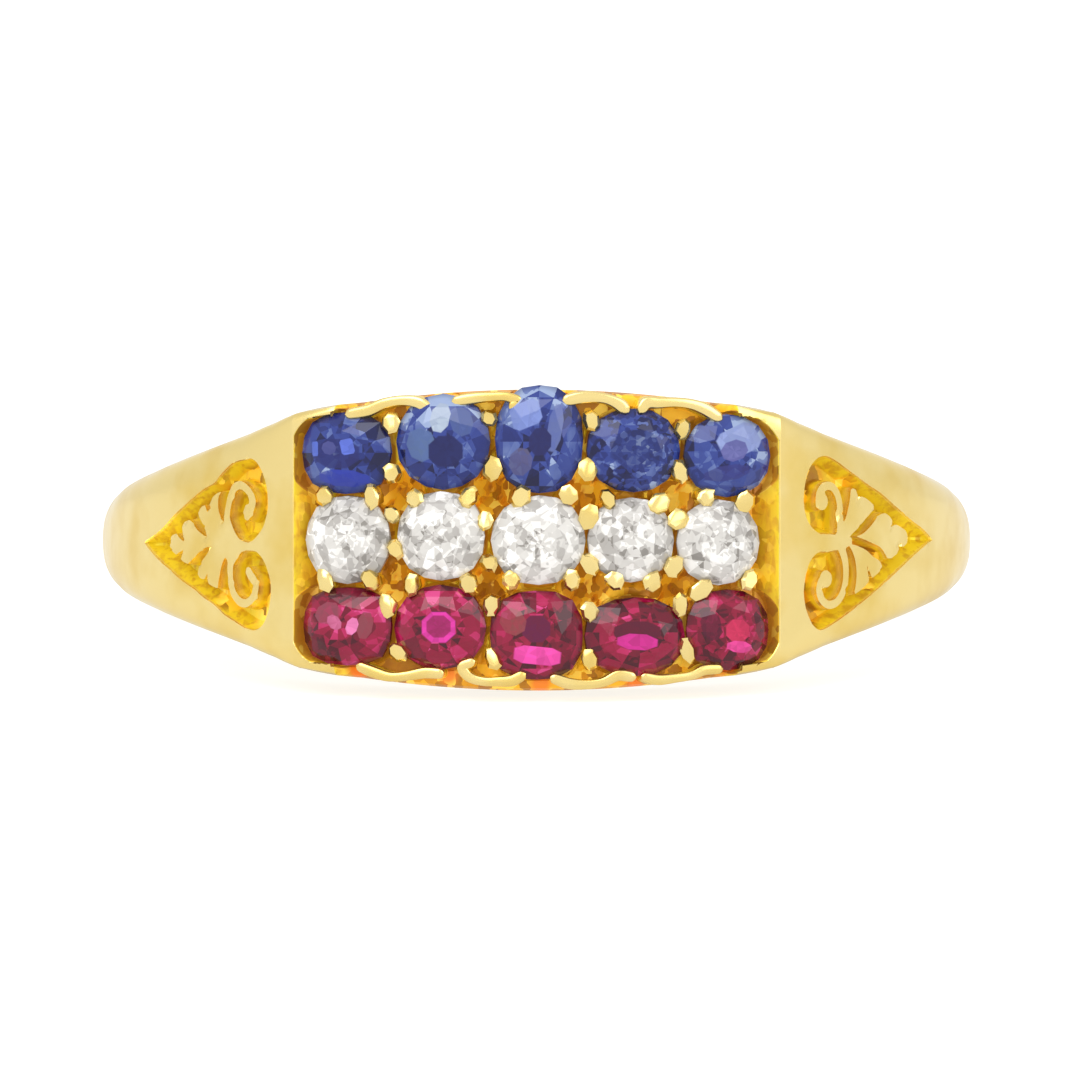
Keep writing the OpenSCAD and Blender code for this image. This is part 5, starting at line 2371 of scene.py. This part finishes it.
@dataclass
class Stone:
    """One cut stone in its seat."""

    seat: Seat
    look: GemLook
    seed: int
    fullness: tuple[float, float] = (1.035, 1.02)
    unevenness: float = 0.012

    def build(self, tree: bpy.types.NodeTree, ids: dict[str, str], profile: RingProfile,
              pose: RestPose) -> bpy.types.Object:
        """Cuts the stone and sets it in its seat.

        Args:
            tree: the stones' Geometry Nodes tree.
            ids: the tree's input identifiers.
            profile: the ring's profile.
            pose: how the ring lies.

        Returns:
            The stone's object, in the row frame.
        """
        host = placed(self.seat.name, bpy.data.meshes.new(self.seat.name))
        mesh = grown(host, tree, ids, {
            "Length": self.seat.length * self.fullness[0],
            "Height": self.seat.height * self.fullness[1],
            "Squareness": self.seat.square, "Unevenness": self.unevenness, "Seed": self.seed,
            "Gem": self.look.build(self.seat.name),
        })
        turn = self.seat.along / profile.girdle_r
        right = np.array([math.cos(turn), math.sin(turn), 0])
        out = np.array([math.sin(turn), -math.cos(turn), 0])
        local = coordinates(mesh)
        upright = (
            out * profile.girdle_r + [0, profile.head_arc_y, self.seat.across]
            + local[:, :1] * right + local[:, 1:2] * np.array([0, 0, 1]) + local[:, 2:] * out
        )
        mesh.vertices.foreach_set("co", pose.place(upright).astype(np.float32).reshape(-1))
        mesh.update()
        face_outward(mesh)
        mesh.shade_flat()
        mesh.name = self.seat.name
        return placed(self.seat.name, mesh)


@dataclass(frozen=True)
class Lamp:
    """One soft square lamp that faces the ring, with sizes in metres and power in watts."""

    name: str
    place: tuple[float, float, float]
    size: float
    power: float

    def build(self) -> None:
        """Adds the lamp."""
        data = bpy.data.lights.new(self.name, "AREA")
        data.energy, data.size = self.power, self.size
        made = placed(self.name, data)
        made.location = self.place
        made.rotation_euler = (-Vector(self.place)).to_track_quat("-Z", "Y").to_euler()


LAMPS = (
    Lamp("key", (-0.25, -0.35, 0.5), 0.5, 2.2),
    Lamp("fill", (0.4, -0.3, 0.3), 0.4, 0.8),
)


@dataclass(frozen=True)
class Studio:
    """The pale floor, the soft light and the camera at the photo's angle, in metres.

    sky is the room's light by height, from 0 below to 1 above. front and side say between which
    directions the light changes, and from what to what.
    """

    pose: RestPose
    distance: float = 0.32
    lens: float = 468.9
    centre_px: tuple[float, float] = (536.5, 540.0)
    picture_px: int = 1080
    sensor_mm: float = 36
    clip: tuple[float, float] = (0.01, 4)
    floor_half: float = 1.3
    floor_grain: float = 700
    floor_greys: tuple[float, float] = (0.36, 0.39)
    floor_roughness: float = 0.9
    floor_glow: float = 0.78
    mirrored_glow: float = 0.47
    sky: tuple[tuple[float, float], ...] = (
        (0.0, 0.9), (0.5, 1.0), (0.62, 1.02), (0.82, 0.95), (1.0, 1.0),
    )
    front: tuple[float, ...] = (-0.35, 0.45, 1.02, 0.9)
    side: tuple[float, ...] = (0.3, 0.95, 1.0, 0.93)

    def floor(self) -> bpy.types.Object:
        """Makes the white floor.

        Returns:
            The floor's object.
        """
        made, w, shader = new_material("floor")
        place = w.node("ShaderNodeTexCoord").outputs["Object"]
        mirrored = w.node("ShaderNodeLightPath").outputs["Is Glossy Ray"]
        grain = w.noise(place, self.floor_grain, 2)
        w.feed(shader, {
            "Base Color": w.mixed(grain, *[grey(value) for value in self.floor_greys]),
            "Emission Color": grey(1),
            "Emission Strength": w.between(mirrored, 0, 1, self.floor_glow, self.mirrored_glow),
            "Roughness": self.floor_roughness, "Specular IOR Level": 0.0,
        })
        corners = [(x * self.floor_half, y * self.floor_half, 0)
                   for x, y in ((-1, -1), (1, -1), (1, 1), (-1, 1))]
        mesh = bpy.data.meshes.new("floor")
        mesh.from_pydata(corners, [], [(0, 1, 2, 3)])
        mesh.materials.append(made)
        return placed("floor", mesh)

    def world(self) -> None:
        """Makes the white studio room round the ring."""
        world = bpy.data.worlds.new("studio")
        world.use_nodes = True
        bpy.context.scene.world = world
        w = Wiring(world.node_tree)
        w.tree.nodes.clear()
        way = w.node("ShaderNodeTexCoord").outputs["Generated"]
        parts = w.parts(way)
        stops = [(height, grey(light)) for height, light in self.sky]
        up = w.bands(w.between(parts["Z"], -1, 1), stops, True)
        front = w.between(parts["Y"], *self.front)
        side = w.between(w.math("ABSOLUTE", parts["X"]), *self.side)
        room = w.node("ShaderNodeBackground", {
            "Color": up, "Strength": w.math("MULTIPLY", side, front)})
        seen = w.node("ShaderNodeBackground", {"Color": grey(1), "Strength": 1.0})
        path = w.node("ShaderNodeLightPath").outputs["Is Camera Ray"]
        both = w.node("ShaderNodeMixShader", {0: path, 1: room.outputs[0], 2: seen.outputs[0]})
        w.node("ShaderNodeOutputWorld", {0: both.outputs[0]})

    def camera(self) -> None:
        """Sets the camera square on to the head, as in the photo."""
        tilt = math.radians(self.pose.tilt_deg)
        centre = Vector(self.pose.place(np.zeros((1, 3)))[0])
        back = Vector((0, -math.cos(tilt), math.sin(tilt)))
        up = Vector((0, math.sin(tilt), math.cos(tilt)))
        scale = self.distance * self.sensor_mm / self.lens / self.picture_px
        off = [(p - self.picture_px / 2) * scale for p in self.centre_px]
        data = bpy.data.cameras.new("photo_view")
        data.lens, data.sensor_width = self.lens, self.sensor_mm
        data.clip_start, data.clip_end = self.clip
        made = placed("photo_view", data)
        made.matrix_world = Matrix((
            (1, up.x, back.x, 0), (0, up.y, back.y, 0), (0, up.z, back.z, 0), (0, 0, 0, 1),
        ))
        made.location = centre + back * self.distance - Vector((off[0], 0, 0)) + up * off[1]
        bpy.context.scene.camera = made

    def build(self) -> bpy.types.Object:
        """Sets the studio up.

        Returns:
            The floor.
        """
        self.world()
        for lamp in LAMPS:
            lamp.build()
        self.camera()
        settings = bpy.context.scene.view_settings
        settings.view_transform, settings.look = "Standard", "None"
        settings.exposure, settings.gamma = 0.0, 1.0
        return self.floor()


@dataclass
class Mount:
    """The whole gold mount: its skin, the rim's tabs and the claws, as one piece."""

    profile: RingProfile
    pose: RestPose
    gold_look: GoldWithPaintedLight = field(default_factory=GoldWithPaintedLight)

    def build(self) -> bpy.types.Object:
        """Makes the whole mount.

        Returns:
            Its one object.
        """
        gold = self.gold_look.build()
        grid, floor = SkinGrid(self.profile), HeadFloor(self.profile)
        parts = [MountSkin(grid, SkinLines(grid, floor), floor, self.pose).build()]
        parts += [
            tab.build(f"tab_{i + 1}", self.profile, self.pose) for i, tab in enumerate(RIM_TABS)
        ]
        parts.append(Claws(self.profile, self.pose).build(gold))
        for part in parts:
            part.data.materials.clear()
        made = joined("ring_mount_gold", parts)
        made.data.materials.append(gold)
        return made


def handed_over(piece: bpy.types.Object, node: str) -> None:
    """Hides the imported part of the node that a piece stands for and puts the piece on the body.

    Args:
        piece: the piece.
        node: the record's node.
    """
    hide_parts(node)
    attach(piece, BODY)
    log.info("%s stands for %s: %d faces", piece.name, node, len(piece.data.polygons))


def main() -> None:
    """Builds the ring's looks and the studio round it."""
    logging.basicConfig(level=logging.INFO, format="%(message)s")
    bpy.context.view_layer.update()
    profile, pose = RingProfile(), RestPose()
    handed_over(Mount(profile, pose).build(), "ring_mount")
    tree, ids = StoneCut().tree()
    for row, looks in zip(ROWS, (SAPPHIRE_LOOKS, DIAMOND_LOOKS, RUBY_LOOKS)):
        for i, (seat, look) in enumerate(zip(row, looks)):
            stone = Stone(seat, look, seed=i + 1).build(tree, ids, profile, pose)
            handed_over(stone, seat.name)
    Studio(pose).build()
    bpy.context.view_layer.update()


if __name__ == "__main__":
    main()
